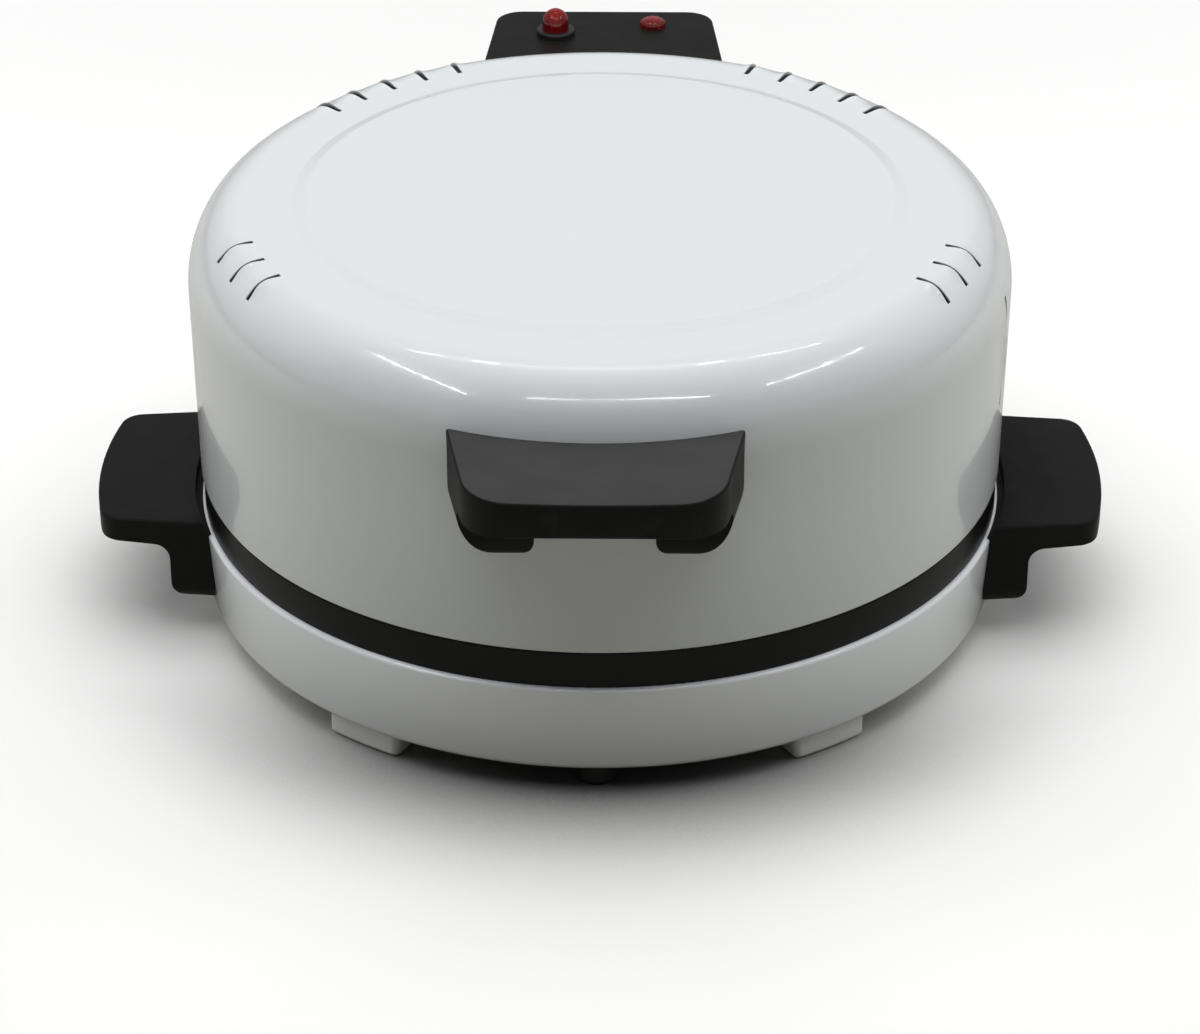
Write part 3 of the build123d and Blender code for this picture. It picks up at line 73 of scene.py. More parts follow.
class Slot(Enum):
    """Material slots of the record, for the pieces that are made here."""

    ENAMEL = "white_enamel"
    PLASTIC = "black_plastic"
    LENS = "red_lens"
    NONSTICK = "nonstick_aluminium"
    LINER = "aluminised_steel"
    FOOT = "white_plastic"
    RUBBER = "black_rubber"
    STEEL = "zinc_plated_steel"


# Helpers for colours, nodes and objects


def linear(hex_colour: str) -> tuple[float, float, float, float]:
    """Turns an sRGB hex colour to a linear one.

    Args:
        hex_colour: six hex digits.

    Returns:
        The linear red, green and blue with an alpha of 1.
    """
    values = [int(hex_colour[i : i + 2], 16) / 255 for i in (0, 2, 4)]
    linear_values = [v / 12.92 if v <= 0.04045 else ((v + 0.055) / 1.055) ** 2.4 for v in values]
    return (*linear_values, 1.0)


def add_node(tree: Tree, kind: str, inputs: dict | None = None, **settings) -> bpy.types.Node:
    """Adds a shader node with its settings, values and links.

    Args:
        tree: the node tree that it goes into.
        kind: the node's type name.
        inputs: a value or an output socket for each input, by name or number.
        **settings: the node's own properties.

    Returns:
        The new node.
    """
    made = tree.nodes.new(kind)
    for name, value in settings.items():
        setattr(made, name, value)
    for name, value in (inputs or {}).items():
        if isinstance(value, Socket):
            tree.links.new(value, made.inputs[name])
        else:
            made.inputs[name].default_value = value
    return made


def linked(name: str, data: bpy.types.ID) -> bpy.types.Object:
    """Makes an object and links it to the scene.

    Args:
        name: the object's name.
        data: its mesh, light or camera.

    Returns:
        The object, at the origin.
    """
    made = bpy.data.objects.new(name, data)
    bpy.context.scene.collection.objects.link(made)
    return made


# Finishes


@dataclass(frozen=True)
class Finish:
    """A finish made from two noises: a slow one that varies the colour and a fine one for grain.

    Attributes:
        name: the material's name.
        colour: sRGB hex of the main colour.
        shade: sRGB hex that the slow noise turns towards.
        shade_mm: size of the slow noise's patches in millimetres.
        shade_share: how far the colour turns to the shade, 0 to 1.
        grain_mm: size of the fine grain in millimetres.
        relief_mm: height of the grain's bump in millimetres.
        roughness: middle roughness.
        spread: how far a slow noise takes it either way.
        metallic: 0 for paint, plastic and rubber, 1 for bare metal.
        coat: weight of a clear glossy layer.
        coat_roughness: roughness of that layer.
        ior: refractive index.
        specular: strength of the gloss, 0.5 being what the index gives.
        transmission: share of light let through.
    """

    name: str
    colour: str
    shade: str
    shade_mm: float = 60.0
    shade_share: float = 0.3
    grain_mm: float = 1.0
    relief_mm: float = 0.02
    roughness: float = 0.4
    spread: float = 0.1
    metallic: float = 0.0
    coat: float = 0.0
    coat_roughness: float = 0.1
    ior: float = 1.5
    specular: float = 0.5
    transmission: float = 0.0

    def colour_socket(self, tree: Tree, place: Socket) -> Socket:
        """The finish's colour: its main colour turned towards its shade by the slow noise.

        Args:
            tree: the material's node tree.
            place: the coordinate socket in metres.

        Returns:
            The colour's output socket.
        """
        slow = add_node(
            tree,
            "ShaderNodeTexNoise",
            {"Vector": place, "Scale": 1 / (self.shade_mm * MM), "Detail": 3.0},
        )
        turn = {"Value": slow.outputs["Fac"], "To Max": self.shade_share}
        colours = {
            MIX_FACTOR: add_node(tree, "ShaderNodeMapRange", turn).outputs["Result"],
            MIX_A: linear(self.colour),
            MIX_B: linear(self.shade),
        }
        return add_node(tree, "ShaderNodeMix", colours, data_type="RGBA").outputs[MIX_RESULT]

    def material(self) -> bpy.types.Material:
        """Builds the material, once for each name.

        Returns:
            The material.
        """
        ready = bpy.data.materials.get(self.name)
        if ready:
            return ready
        made = bpy.data.materials.new(self.name)
        made.use_nodes = True
        tree = made.node_tree
        shader = tree.nodes["Principled BSDF"]
        for name, value in {
            "Metallic": self.metallic,
            "IOR": self.ior,
            "Specular IOR Level": self.specular,
            "Coat Weight": self.coat,
            "Coat Roughness": self.coat_roughness,
            "Transmission Weight": self.transmission,
        }.items():
            shader.inputs[name].default_value = value
        place = add_node(tree, "ShaderNodeTexCoord").outputs["Object"]
        tree.links.new(self.colour_socket(tree, place), shader.inputs["Base Color"])
        smudge = add_node(
            tree,
            "ShaderNodeTexNoise",
            {"Vector": place, "Scale": SMUDGES_PER_SHADE / (self.shade_mm * MM), "Detail": 2.0},
        )
        rough = add_node(
            tree,
            "ShaderNodeMapRange",
            {
                "Value": smudge.outputs["Fac"],
                "To Min": self.roughness - self.spread,
                "To Max": self.roughness + self.spread,
            },
        )
        tree.links.new(rough.outputs["Result"], shader.inputs["Roughness"])
        grain = add_node(
            tree,
            "ShaderNodeTexNoise",
            {"Vector": place, "Scale": 1 / (self.grain_mm * MM), "Detail": 2.0},
        ).outputs["Fac"]
        relief = {"Height": grain, "Distance": self.relief_mm * MM, "Strength": 1.0}
        bump = add_node(tree, "ShaderNodeBump", relief)
        tree.links.new(bump.outputs["Normal"], shader.inputs["Normal"])
        return made


@dataclass(frozen=True)
class SlitFinish(Finish):
    """A finish painted dark where the mesh's slit attribute says that a louvre opens: a painted
    shade in the shallow recess that stands for the opening.

    Attributes:
        painted_slit_shade: sRGB hex of the painted shade in a louvre's slit.
    """

    # Painted shade: the dark that a slit's recess is painted in place of the shade of an opening
    painted_slit_shade: str = "0A0B0C"

    def colour_socket(self, tree: Tree, place: Socket) -> Socket:
        """The plain colour mixed to the painted shade of the slits by the attribute.

        Args:
            tree: the material's node tree.
            place: the coordinate socket in metres.

        Returns:
            The colour's output socket.
        """
        slit = add_node(tree, "ShaderNodeAttribute", attribute_name="slit")
        colours = {
            MIX_FACTOR: slit.outputs["Fac"],
            MIX_A: super().colour_socket(tree, place),
            MIX_B: linear(self.painted_slit_shade),
        }
        return add_node(tree, "ShaderNodeMix", colours, data_type="RGBA").outputs[MIX_RESULT]


@dataclass(frozen=True)
class TopLitFinish(Finish):
    """A finish whose faces that look up are painted a lighter grey: a painted top light.

    Attributes:
        top_light: sRGB hex of the painted top light's grey.
        top_light_patch: sRGB hex that the painted grey turns to in patches.
        top_light_patch_mm: size of the patches in millimetres.
        top_light_from: upward part of the normal at which the painted top light begins.
        top_light_at: upward part of the normal at which the colour is the painted grey.
    """

    top_light: str = "434343"
    top_light_patch: str = "383838"
    top_light_patch_mm: float = 22.0
    top_light_from: float = 0.72
    top_light_at: float = 0.97

    def colour_socket(self, tree: Tree, place: Socket) -> Socket:
        """The plain colour mixed to the painted top light's grey by how far the object's own normal
        looks up.

        Args:
            tree: the material's node tree.
            place: the coordinate socket in metres.

        Returns:
            The colour's output socket.
        """
        # Painted top light: the more a face looks up, the more it is painted the lighter grey
        normal = add_node(tree, "ShaderNodeTexCoord").outputs["Normal"]
        up = add_node(tree, "ShaderNodeSeparateXYZ", {"Vector": normal}).outputs["Z"]
        amount = add_node(
            tree,
            "ShaderNodeMapRange",
            {"Value": up, "From Min": self.top_light_from, "From Max": self.top_light_at},
            interpolation_type="SMOOTHSTEP",
        )
        cloud = add_node(
            tree,
            "ShaderNodeTexNoise",
            {"Vector": place, "Scale": 1 / (self.top_light_patch_mm * MM), "Detail": 2.0},
        ).outputs["Fac"]
        patches = {MIX_FACTOR: cloud, MIX_A: linear(self.top_light), MIX_B: linear(self.top_light_patch)}
        painted_top = add_node(tree, "ShaderNodeMix", patches, data_type="RGBA")
        colours = {
            MIX_FACTOR: amount.outputs["Result"],
            MIX_A: super().colour_socket(tree, place),
            MIX_B: painted_top.outputs[MIX_RESULT],
        }
        return add_node(tree, "ShaderNodeMix", colours, data_type="RGBA").outputs[MIX_RESULT]


# Vitreous enamel on pressed steel, dipped and fired: glossy, with a faint orange peel that softens
# what it mirrors. Its roughness stays below 0.27 and that of the bare metals above it, because the
# denoiser takes what is smoother for a mirror and leaves outlines where one finish crosses over.
LID_ENAMEL = SlitFinish(
    "white_vitreous_enamel", "DFE3E5", "D8DDE0", 90.0, 0.5,
    grain_mm=4.0, relief_mm=0.006, roughness=0.23, spread=0.05,
    coat=0.6, coat_roughness=0.02,
)
# The base's enamel is painted a shade whiter than the lid's: painted light that stands for the
# brighter light on the base. Its glaze is thicker and picks up the pale floor
BASE_ENAMEL = Finish(
    "white_vitreous_enamel_base", "F3F7FC", "EEF2F8", 90.0, 0.5,
    grain_mm=4.0, relief_mm=0.006, roughness=0.22, spread=0.06,
    coat=1.0, coat_roughness=0.05, specular=0.9,
)
# Injection moulded phenolic: near black, satin, with a fine spark-eroded grain
MOULDED_PLASTIC = Finish(
    "moulded_phenolic", "121312", "191A19", 35.0, 0.8,
    grain_mm=0.9, roughness=0.46, spread=0.08, specular=0.11,
)
# The same with a painted top light: its faces that look up are painted grey in soft patches, and it
# is a little more matt
TOP_LIT_PLASTIC = TopLitFinish(
    "phenolic_painted_top_light", "0E0F0E", "161716", 35.0, 0.8,
    grain_mm=0.9, roughness=0.5, spread=0.08, specular=0.12,
)
# Moulded nylon glands, ring and nuts: black with more shine than the handles
FITTING_PLASTIC = Finish(
    "moulded_nylon", "141414", "1E1E1E", 12.0, 0.7,
    grain_mm=0.8, roughness=0.38, spread=0.12,
)
# Clear-tinted polycarbonate lamp caps: deep red, glossy, seen through
LENS_PLASTIC = Finish(
    "red_polycarbonate", "B8160D", "960F09", 6.0, 0.6,
    grain_mm=2.0, relief_mm=0.01, roughness=0.06, spread=0.03,
    ior=1.58, transmission=0.85,
)
# Frosted glass bulb: pale and matt, the bright spot in the red cap
BULB_GLASS = Finish(
    "frosted_glass", "E8B8A0", "D89C84", 3.0, 0.5,
    relief_mm=0.005, roughness=0.35, spread=0.05,
)
# Moulded nylon feet: white, satin, slightly cloudy
FOOT_PLASTIC = Finish(
    "white_nylon", "F8FAFA", "EEF0F0", 18.0, 0.5,
    grain_mm=0.8, roughness=0.42, spread=0.12,
)
# Moulded rubber: black and matt, with a pebbled skin
RUBBER = Finish(
    "moulded_rubber", "111111", "1C1B1A", 10.0, 0.8,
    grain_mm=0.7, relief_mm=0.03, roughness=0.62, spread=0.15,
)
# Sprayed non-stick on a cast plate: black with a fine sparkle and a light orange peel
NONSTICK = Finish(
    "nonstick_coating", "050606", "090A0A", 14.0, 0.7,
    grain_mm=1.2, roughness=0.36, spread=0.06, specular=0.17,
)
# Hot-dipped aluminised sheet: bright grey with a spangle of a few millimetres
ALUMINISED = Finish(
    "aluminised_steel", "B9BABB", "9FA1A3", 9.0, 0.8,
    grain_mm=0.5, relief_mm=0.004, roughness=0.36, spread=0.12, metallic=1.0,
)
# Zinc plate on folded or turned steel: cool grey, even, half bright
ZINC_PLATE = Finish(
    "zinc_plated_steel", "B4B5B8", "9A9CA2", 8.0, 0.7,
    grain_mm=0.5, relief_mm=0.004, roughness=0.35, spread=0.11, metallic=1.0,
)
# Element tube that heat has oxidised: dark brown grey in uneven stretches
SHEATH = Finish(
    "oxidised_steel_sheath", "4A4744", "2C2A29", 16.0, 0.9,
    grain_mm=0.5, relief_mm=0.01, roughness=0.42, spread=0.2, metallic=1.0,
)
# Pressed steatite: cream and chalky
CERAMIC = Finish(
    "steatite_ceramic", "D8D2C2", "C6BEAA", 6.0, 0.6,
    grain_mm=0.4, roughness=0.55, spread=0.15,
)
# Woven glass sleeving: cream and dull; its weave is drawn as a grain of a thread's width
SLEEVING = Finish(
    "glass_fibre_sleeving", "C9C4B4", "A9A392", 2.0, 0.8,
    grain_mm=0.35, relief_mm=0.06, roughness=0.7, spread=0.15,
)
# Turned brass: warm yellow, bright, with a fine grain
BRASS = Finish(
    "turned_brass", "B08D47", "8A6A30", 5.0, 0.6,
    grain_mm=0.3, relief_mm=0.004, roughness=0.35, spread=0.11, metallic=1.0,
)

SLOT_FINISHES = {
    "white_enamel": BASE_ENAMEL,
    "black_plastic": MOULDED_PLASTIC,
    "black_fittings": FITTING_PLASTIC,
    "red_lens": LENS_PLASTIC,
    "black_rubber": RUBBER,
    "white_plastic": FOOT_PLASTIC,
    "nonstick_aluminium": NONSTICK,
    "aluminised_steel": ALUMINISED,
    "element_sheath": SHEATH,
    "ceramic": CERAMIC,
    "lead_sleeving": SLEEVING,
    "brass": BRASS,
    "thermostat_case": ALUMINISED,
    "zinc_plated_steel": ZINC_PLATE,
}


# Mesh helpers


def rounded_path(
    points: list[tuple[float, float]], radii: list[float], steps: int = 6
) -> np.ndarray:
    """A plane path of straight runs with a circular arc at each inner corner.

    The arc of radius r at a corner starts r * tan(turn / 2) before it and ends as far after it. Its
    points are centre + r * (sin((1 - s) w) u + sin(s w) v) / sin w, with s from 0 to 1, w its sweep
    and u and v the ways from its centre to its ends.

    Args:
        points: the path's corners, in millimetres.
        radii: one radius for each inner corner.
        steps: spans of each arc.

    Returns:
        The path's points, n by 2.
    """
    corners = np.array(points, float)
    parts = [corners[:1]]
    for before, corner, after, radius in zip(corners, corners[1:], corners[2:], radii):
        a, b = before - corner, after - corner
        a, b = a / np.linalg.norm(a), b / np.linalg.norm(b)
        half = np.arccos(np.clip(a @ b, -1, 1)) / 2
        middle = (a + b) / np.linalg.norm(a + b)
        centre = corner + middle * radius / np.sin(half)
        start, end = corner + a * radius / np.tan(half), corner + b * radius / np.tan(half)
        share = np.linspace(0, 1, steps + 1)[:, None]
        sweep = math.pi - 2 * half
        u, v = (start - centre) / radius, (end - centre) / radius
        turned = (np.sin((1 - share) * sweep) * u + np.sin(share * sweep) * v) / math.sin(sweep)
        parts.append(centre + radius * turned)
    parts.append(corners[-1:])
    return np.concatenate(parts)


def grid_faces(rows: int, columns: int) -> np.ndarray:
    """Quads of a grid of points that closes on itself, numbered row by row.

    Args:
        rows: points along the first parameter.
        columns: points along the second parameter, the last of which joins the first.

    Returns:
        The quads' corner numbers, n by 4.
    """
    i, j = np.meshgrid(np.arange(rows - 1), np.arange(columns), indexing="ij")
    k = (j + 1) % columns
    this_row, next_row = i * columns, (i + 1) * columns
    return np.stack([this_row + j, this_row + k, next_row + k, next_row + j], -1).reshape(-1, 4)


def mesh_object(name: str, points: np.ndarray, faces: np.ndarray) -> bpy.types.Object:
    """Makes an object at the origin, with its doubles merged and its normals turned outwards.

    Args:
        name: the object's name.
        points: n by 3 places, in millimetres.
        faces: m by 4 corner numbers.

    Returns:
        The object, linked to the scene and shaded smooth.
    """
    mesh = bpy.data.meshes.new(name)
    mesh.from_pydata((points * MM).tolist(), [], faces.tolist())
    work = bmesh.new()
    work.from_mesh(mesh)
    bmesh.ops.remove_doubles(work, verts=work.verts, dist=MERGE_M)
    bmesh.ops.recalc_face_normals(work, faces=work.faces)
    work.to_mesh(mesh)
    work.free()
    mesh.shade_smooth()
    return linked(name, mesh)


def revolve(
    name: str,
    profile: np.ndarray,
    columns: int = 256,
    sharp_degrees: float = 40.0,
    centre: tuple[float, float] = (0.0, 0.0),
    ripple: np.ndarray | None = None,
    ripples: int = 12,
) -> bpy.types.Object:
    """Turns a profile round an upright axis.

    Each point (r, z) goes to (x + q cos a, y + q sin a, z), with q = r + ripple cos(ripples a).

    Args:
        name: the object's name.
        profile: n by 2 points of radius and height, in millimetres.
        columns: number of angles.
        sharp_degrees: edges that turn more than this are shaded sharp.
        centre: the axis's x and y, in millimetres.
        ripple: height of the ripples at each point of the profile, in millimetres.
        ripples: number of ripples round the axis.

    Returns:
        The object.
    """
    angles = np.linspace(0, 2 * math.pi, columns, endpoint=False)
    r, z = profile[:, :1], profile[:, 1:]
    if ripple is not None:
        r = r + ripple[:, None] * np.cos(ripples * angles)
    x, y = centre[0] + r * np.cos(angles), centre[1] + r * np.sin(angles)
    points = np.stack([x, y, z + 0 * angles], -1)
    made = mesh_object(name, points.reshape(-1, 3), grid_faces(len(profile), columns))
    made.data.set_sharp_from_angle(angle=math.radians(sharp_degrees))
    return made


def put(piece: bpy.types.Object, body: Body, slot: Slot, finish: Finish, *nodes: str) -> None:
    """Dresses a piece, hangs it on its body and lets it stand for solids of the frame.

    Args:
        piece: the new object.
        body: the body that it rides on.
        slot: the record's material slot; not used.
        finish: its finish.
        *nodes: the frame's nodes that it replaces.
    """
    piece.data.materials.clear()
    piece.data.materials.append(finish.material())
    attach(piece, body.value)
    if nodes:
        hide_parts(*nodes)
    LOG.info("%s: %d faces on %s", piece.name, len(piece.data.polygons), body.value)


def softened(name: str, node: str, edge_mm: float) -> bpy.types.Object:
    """A copy of a node's solid with its doubles merged, its flats joined and its edges rounded.

    Args:
        name: the new object's name.
        node: the frame's node.
        edge_mm: radius of the edges.

    Returns:
        The object, with a live bevel.
    """
    work = bmesh.new()
    work.from_mesh(frame["nodes"][node].data)
    bmesh.ops.remove_doubles(work, verts=work.verts, dist=SOLID_MERGE_M)
    flat = math.radians(FLAT_DEGREES)
    bmesh.ops.dissolve_limit(work, angle_limit=flat, verts=work.verts, edges=work.edges)
    mesh = bpy.data.meshes.new(name)
    work.to_mesh(mesh)
    work.free()
    mesh.shade_smooth()
    mesh.set_sharp_from_angle(angle=math.radians(EDGE_DEGREES))
    made = linked(name, mesh)
    bevel = made.modifiers.new("edges", "BEVEL")
    bevel.width = edge_mm * MM
    bevel.segments = EDGE_SEGMENTS
    bevel.limit_method = "ANGLE"
    bevel.angle_limit = math.radians(EDGE_DEGREES)
    bevel.harden_normals = True
    return made


# The oven


@dataclass
class Louvre:
    """A lanced slit in the lid, with the metal on one side pressed out.

    Attributes:
        angle: its place round the lid, in degrees.
        start: where it starts along the profile, in millimetres of arc from the centre.
        end: where it ends along the profile.
        side: 1 if the side at greater angles is pressed out, otherwise -1.
    """

    angle: float
    start: float
    end: float
    side: int


@dataclass(frozen=True)
class Profile:
    """A profile of n by 2 points of radius and height, in millimetres."""

    points: np.ndarray

    @property
    def arc(self) -> np.ndarray:
        """The length along the profile at each of its points."""
        steps = np.linalg.norm(np.diff(self.points, axis=0), axis=1)
        return np.concatenate([[0], np.cumsum(steps)])

    def radius(self, length: float | np.ndarray) -> np.ndarray:
        """The radius at a length along the profile."""
        return np.interp(length, self.arc, self.points[:, 0])

    def height(self, length: float | np.ndarray) -> np.ndarray:
        """The height at a length along the profile."""
        return np.interp(length, self.arc, self.points[:, 1])


@dataclass
class LidShell:
    """The enamelled lid: a profile turned round Z on a grid that is closer at the louvres.

    Sizes are in millimetres and match the solids of the frame.
    """

    rim_r: float = 205.0
    wall_r: float = 206.5
    rim_z: float = 79.4
    height: float = 141.5
    shoulder_reach: float = 30.7
    shoulder_drop: float = 40.0
    shoulder_points: int = 40
    ring_outer_r: float = 153.7
    ring_inner_r: float = 146.8
    ring_rise: float = 2.0
    ring_round: float = 6.0
    crown: float = 1.0
    sheet: float = 1.2
    hem: float = 7.0
    rim_round: float = 1.6
    slit_width: float = 2.8
    slit_depth: float = 1.0
    slit_edge: float = 0.02
    lip_height: float = 1.9
    far_height: float = 0.9
    lip_reach: float = 9.0
    front_reach: tuple[float, float] = (177.0, 195.0)
    front_angles: tuple[float, ...] = (17.8, 24.3, 30.6)
    rear_reach: tuple[float, float] = (170.0, 190.0)
    rear_angles: tuple[float, ...] = (36.8, 43.4, 50.1, 56.8, 63.5)
    wall_angles: tuple[float, ...] = (-14.0, 14.0)
    wall_heights: tuple[float, float] = (130.0, 191.0)
    end_steps: tuple[float, ...] = (-0.6, -0.02, 0.02, 0.6)
    louvre_rows: int = 14
    least_span: float = 3.0
    least_row: float = 0.015
    beside_back: float = 0.4
    beside_front: float = 0.5
    far_back: tuple[float, ...] = (-8.0, -5.0, -3.0)
    far_front: tuple[float, ...] = (3.0, 5.0, 7.0, 9.0)
    column_degrees: float = 1.5
    least_column_degrees: float = 0.4
    inner_every: int = 6
    inner_rise: float = 1.08
    sharp_degrees: float = 50.0

    def outer_path(self) -> np.ndarray:
        """The outer profile: crowned top, ring, a shoulder that is a quarter ellipse, wall and hem.

        Returns:
            The points from the centre of the top to the inner edge of the hem, n by 2.
        """
        top = self.rim_z + self.height
        crown = rounded_path(
            [
                (0, top + self.ring_rise + self.crown),
                (self.ring_inner_r, top + self.ring_rise),
                (self.ring_outer_r, top),
                (self.wall_r - self.shoulder_reach, top),
            ],
            [self.ring_round, self.ring_round],
        )
        turn = np.linspace(math.pi / 2, 0, self.shoulder_points)
        shoulder = np.stack(
            [
                self.wall_r - self.shoulder_reach + self.shoulder_reach * np.cos(turn),
                top - self.shoulder_drop + self.shoulder_drop * np.sin(turn),
            ],
            -1,
        )
        hem = [(self.rim_r, self.rim_z), (self.rim_r - self.hem, self.rim_z)]
        wall = rounded_path([shoulder[-1], *hem], [self.rim_round])
        return np.concatenate([crown, shoulder[1:], wall[1:]])

    def louvres(self, profile: Profile) -> list[Louvre]:
        """Places every louvre, by radius on the top and shoulder and by height on the wall.

        Args:
            profile: the lid's profile.

        Returns:
            The louvres, with their ends as lengths along the profile.
        """
        radii, depths, arc = profile.points[:, 0], -profile.points[:, 1], profile.arc
        above = -depths > self.rim_z + self.height - self.shoulder_drop
        aside = radii > self.wall_r - self.shoulder_reach
        front, rear = (
            [float(np.interp(r, radii[above], arc[above])) for r in reach]
            for reach in (self.front_reach, self.rear_reach)
        )
        wall = sorted(float(np.interp(-z, depths[aside], arc[aside])) for z in self.wall_heights)
        made = []
        for angle in self.front_angles:
            made += [Louvre(-angle, *front, -1), Louvre(180 + angle, *front, 1)]
        for angle in self.rear_angles:
            made += [Louvre(angle, *rear, 1), Louvre(180 - angle, *rear, -1)]
        made += [Louvre(angle, *wall, -1 if angle < 0 else 1) for angle in self.wall_angles]
        return made

    def rows(self, profile: Profile, louvres: list[Louvre]) -> np.ndarray:
        """Places the grid's rows: at the profile's points and close along the louvres.

        Args:
            profile: the lid's profile.
            louvres: the louvres.

        Returns:
            The rows' lengths along the profile, in millimetres.
        """
        ends = sorted({round(end, 4) for louvre in louvres for end in (louvre.start, louvre.end)})
        extra = [end + step for end in ends for step in self.end_steps]
        spans = [
            np.linspace(low, high, self.louvre_rows)
            for low, high in zip(ends[:-1], ends[1:])
            if high - low > self.least_span
        ]
        rows = np.unique(np.round(np.concatenate([profile.arc, extra, *spans]), 3))
        return rows[np.concatenate([[True], np.diff(rows) > self.least_row])]

    def columns(self, profile: Profile, louvres: list[Louvre]) -> np.ndarray:
        """Places the grid's columns: even ones, and a close set beside each slit in place of them.

        Args:
            profile: the lid's profile.
            louvres: the louvres.

        Returns:
            The columns' angles, in degrees.
        """
        half = self.slit_width / 2
        edge = half - self.slit_edge
        back, front = half + self.beside_back, half + self.beside_front
        beside = [*self.far_back, -back, -half, -edge, edge, half, front, *self.far_front]
        near = []
        for louvre in louvres:
            turn = np.degrees(np.array(beside) / self.reach(profile, louvre))
            near.append((louvre.angle + louvre.side * turn) % 360)
        near = np.concatenate(near)
        even = np.arange(0, 360, self.column_degrees)
        gap = np.min(np.abs((even[:, None] - near + 180) % 360 - 180), axis=1)
        kept = even[gap > self.least_column_degrees]
        return np.unique(np.round(np.concatenate([kept, near]), 5))

    def reach(self, profile: Profile, louvre: Louvre) -> float:
        """The lid's radius at the middle of a louvre, in millimetres."""
        return float(profile.radius((louvre.start + louvre.end) / 2))

    def relief(
        self, profile: Profile, louvres: list[Louvre], rows: np.ndarray, angles: np.ndarray
    ) -> tuple[np.ndarray, np.ndarray]:
        """How the louvres move the grid's points along the profile's normal.

        A point moves out by a height * sin(pi u)^2 * (1 - t / lip_reach)^2 beside a slit, u being
        the share of its length and t the distance from it, and in by slit_depth inside the slit.
        The height is lip_height on the pressed side and far_height on the other.

        Args:
            profile: the lid's profile.
            louvres: the louvres.
            rows: the rows' lengths along the profile.
            angles: the columns' angles, in degrees.

        Returns:
            The move outwards in millimetres and whether the point is in a slit, rows by columns.
        """
        half = self.slit_width / 2
        out = np.zeros((len(rows), len(angles)))
        dark = np.zeros_like(out)
        for louvre in louvres:
            turn = np.radians((angles - louvre.angle + 180) % 360 - 180)
            t = louvre.side * turn * self.reach(profile, louvre)
            u = (rows - louvre.start) / (louvre.end - louvre.start)
            within = (u > 0) & (u < 1)
            along = np.where(within, np.sin(np.pi * np.clip(u, 0, 1)) ** 2, 0)
            fade = np.clip(1 - (np.abs(t) - half) / self.lip_reach, 0, 1) ** 2
            pressed = t >= half - self.slit_edge / 2
            lip = np.where(pressed, self.lip_height * fade, self.far_height * fade)
            inside = (np.abs(t) < half - self.slit_edge / 4)[None, :] & within[:, None]
            out += along[:, None] * lip[None, :]
            out -= self.slit_depth * inside
            dark = np.maximum(dark, inside)
        return out, dark

    def build(self) -> None:
        """Builds the lid on a grid of rows by columns, with an inner skin joined at the hem.

        A point is on the profile turned to the column's angle, then moved along the profile's
        normal by the louvres' relief. The inner skin is the profile drawn in by the sheet.
        """
        profile = Profile(self.outer_path())
        louvres = self.louvres(profile)
        rows, angles = self.rows(profile, louvres), self.columns(profile, louvres)
        r, z = profile.radius(rows), profile.height(rows)
        slope_r, slope_z = np.gradient(r, rows), np.gradient(z, rows)
        length = np.hypot(slope_r, slope_z)
        normal_r, normal_z = -slope_z / length, slope_r / length
        out, dark = self.relief(profile, louvres, rows, angles)
        turned = np.radians(angles)
        far = r[:, None] + normal_r[:, None] * out
        high = z[:, None] + normal_z[:, None] * out
        points = np.stack([far * np.cos(turned), far * np.sin(turned), high], -1)
        # The inner skin runs from the hem back to the centre
        drawn_in = np.stack([r - normal_r * self.sheet, z - normal_z * self.sheet], -1)
        inner = drawn_in[:: -self.inner_every]
        inner = inner[inner[:, 1] > self.rim_z + self.inner_rise]
        hem_edge = [self.rim_r - self.hem, self.rim_z + self.sheet]
        inner = np.concatenate([[hem_edge], inner[1:]])
        inner[:, 0] = np.maximum(inner[:, 0], 0)
        inner[-1, 0] = 0
        inner_x, inner_y = inner[:, :1] * np.cos(turned), inner[:, :1] * np.sin(turned)
        skin = np.stack([inner_x, inner_y, inner[:, 1:] + 0 * turned], -1)
        grid = np.concatenate([points, skin])
        faces = grid_faces(len(grid), len(angles))
        mesh = bpy.data.meshes.new("lid_dome")
        mesh.from_pydata((grid.reshape(-1, 3) * MM).tolist(), [], faces.tolist())
        # The slit attribute marks the floors of the louvres' shallow recesses, which get the
        # painted shade of an opening
        slit = mesh.attributes.new("slit", "FLOAT", "POINT")
        shade = np.concatenate([dark, np.zeros(skin.shape[:2])])
        slit.data.foreach_set("value", shade.ravel().astype(np.float32))
        work = bmesh.new()
        work.from_mesh(mesh)
        poles = [v for v in work.verts if v.co.xy.length < MERGE_M]
        bmesh.ops.remove_doubles(work, verts=poles, dist=MERGE_M)
        bmesh.ops.recalc_face_normals(work, faces=work.faces)
        work.to_mesh(mesh)
        work.free()
        mesh.shade_smooth()
        mesh.set_sharp_from_angle(angle=math.radians(self.sharp_degrees))
        made = linked("lid_dome", mesh)
        put(made, Body.LID, Slot.ENAMEL, LID_ENAMEL, "lid_shell")


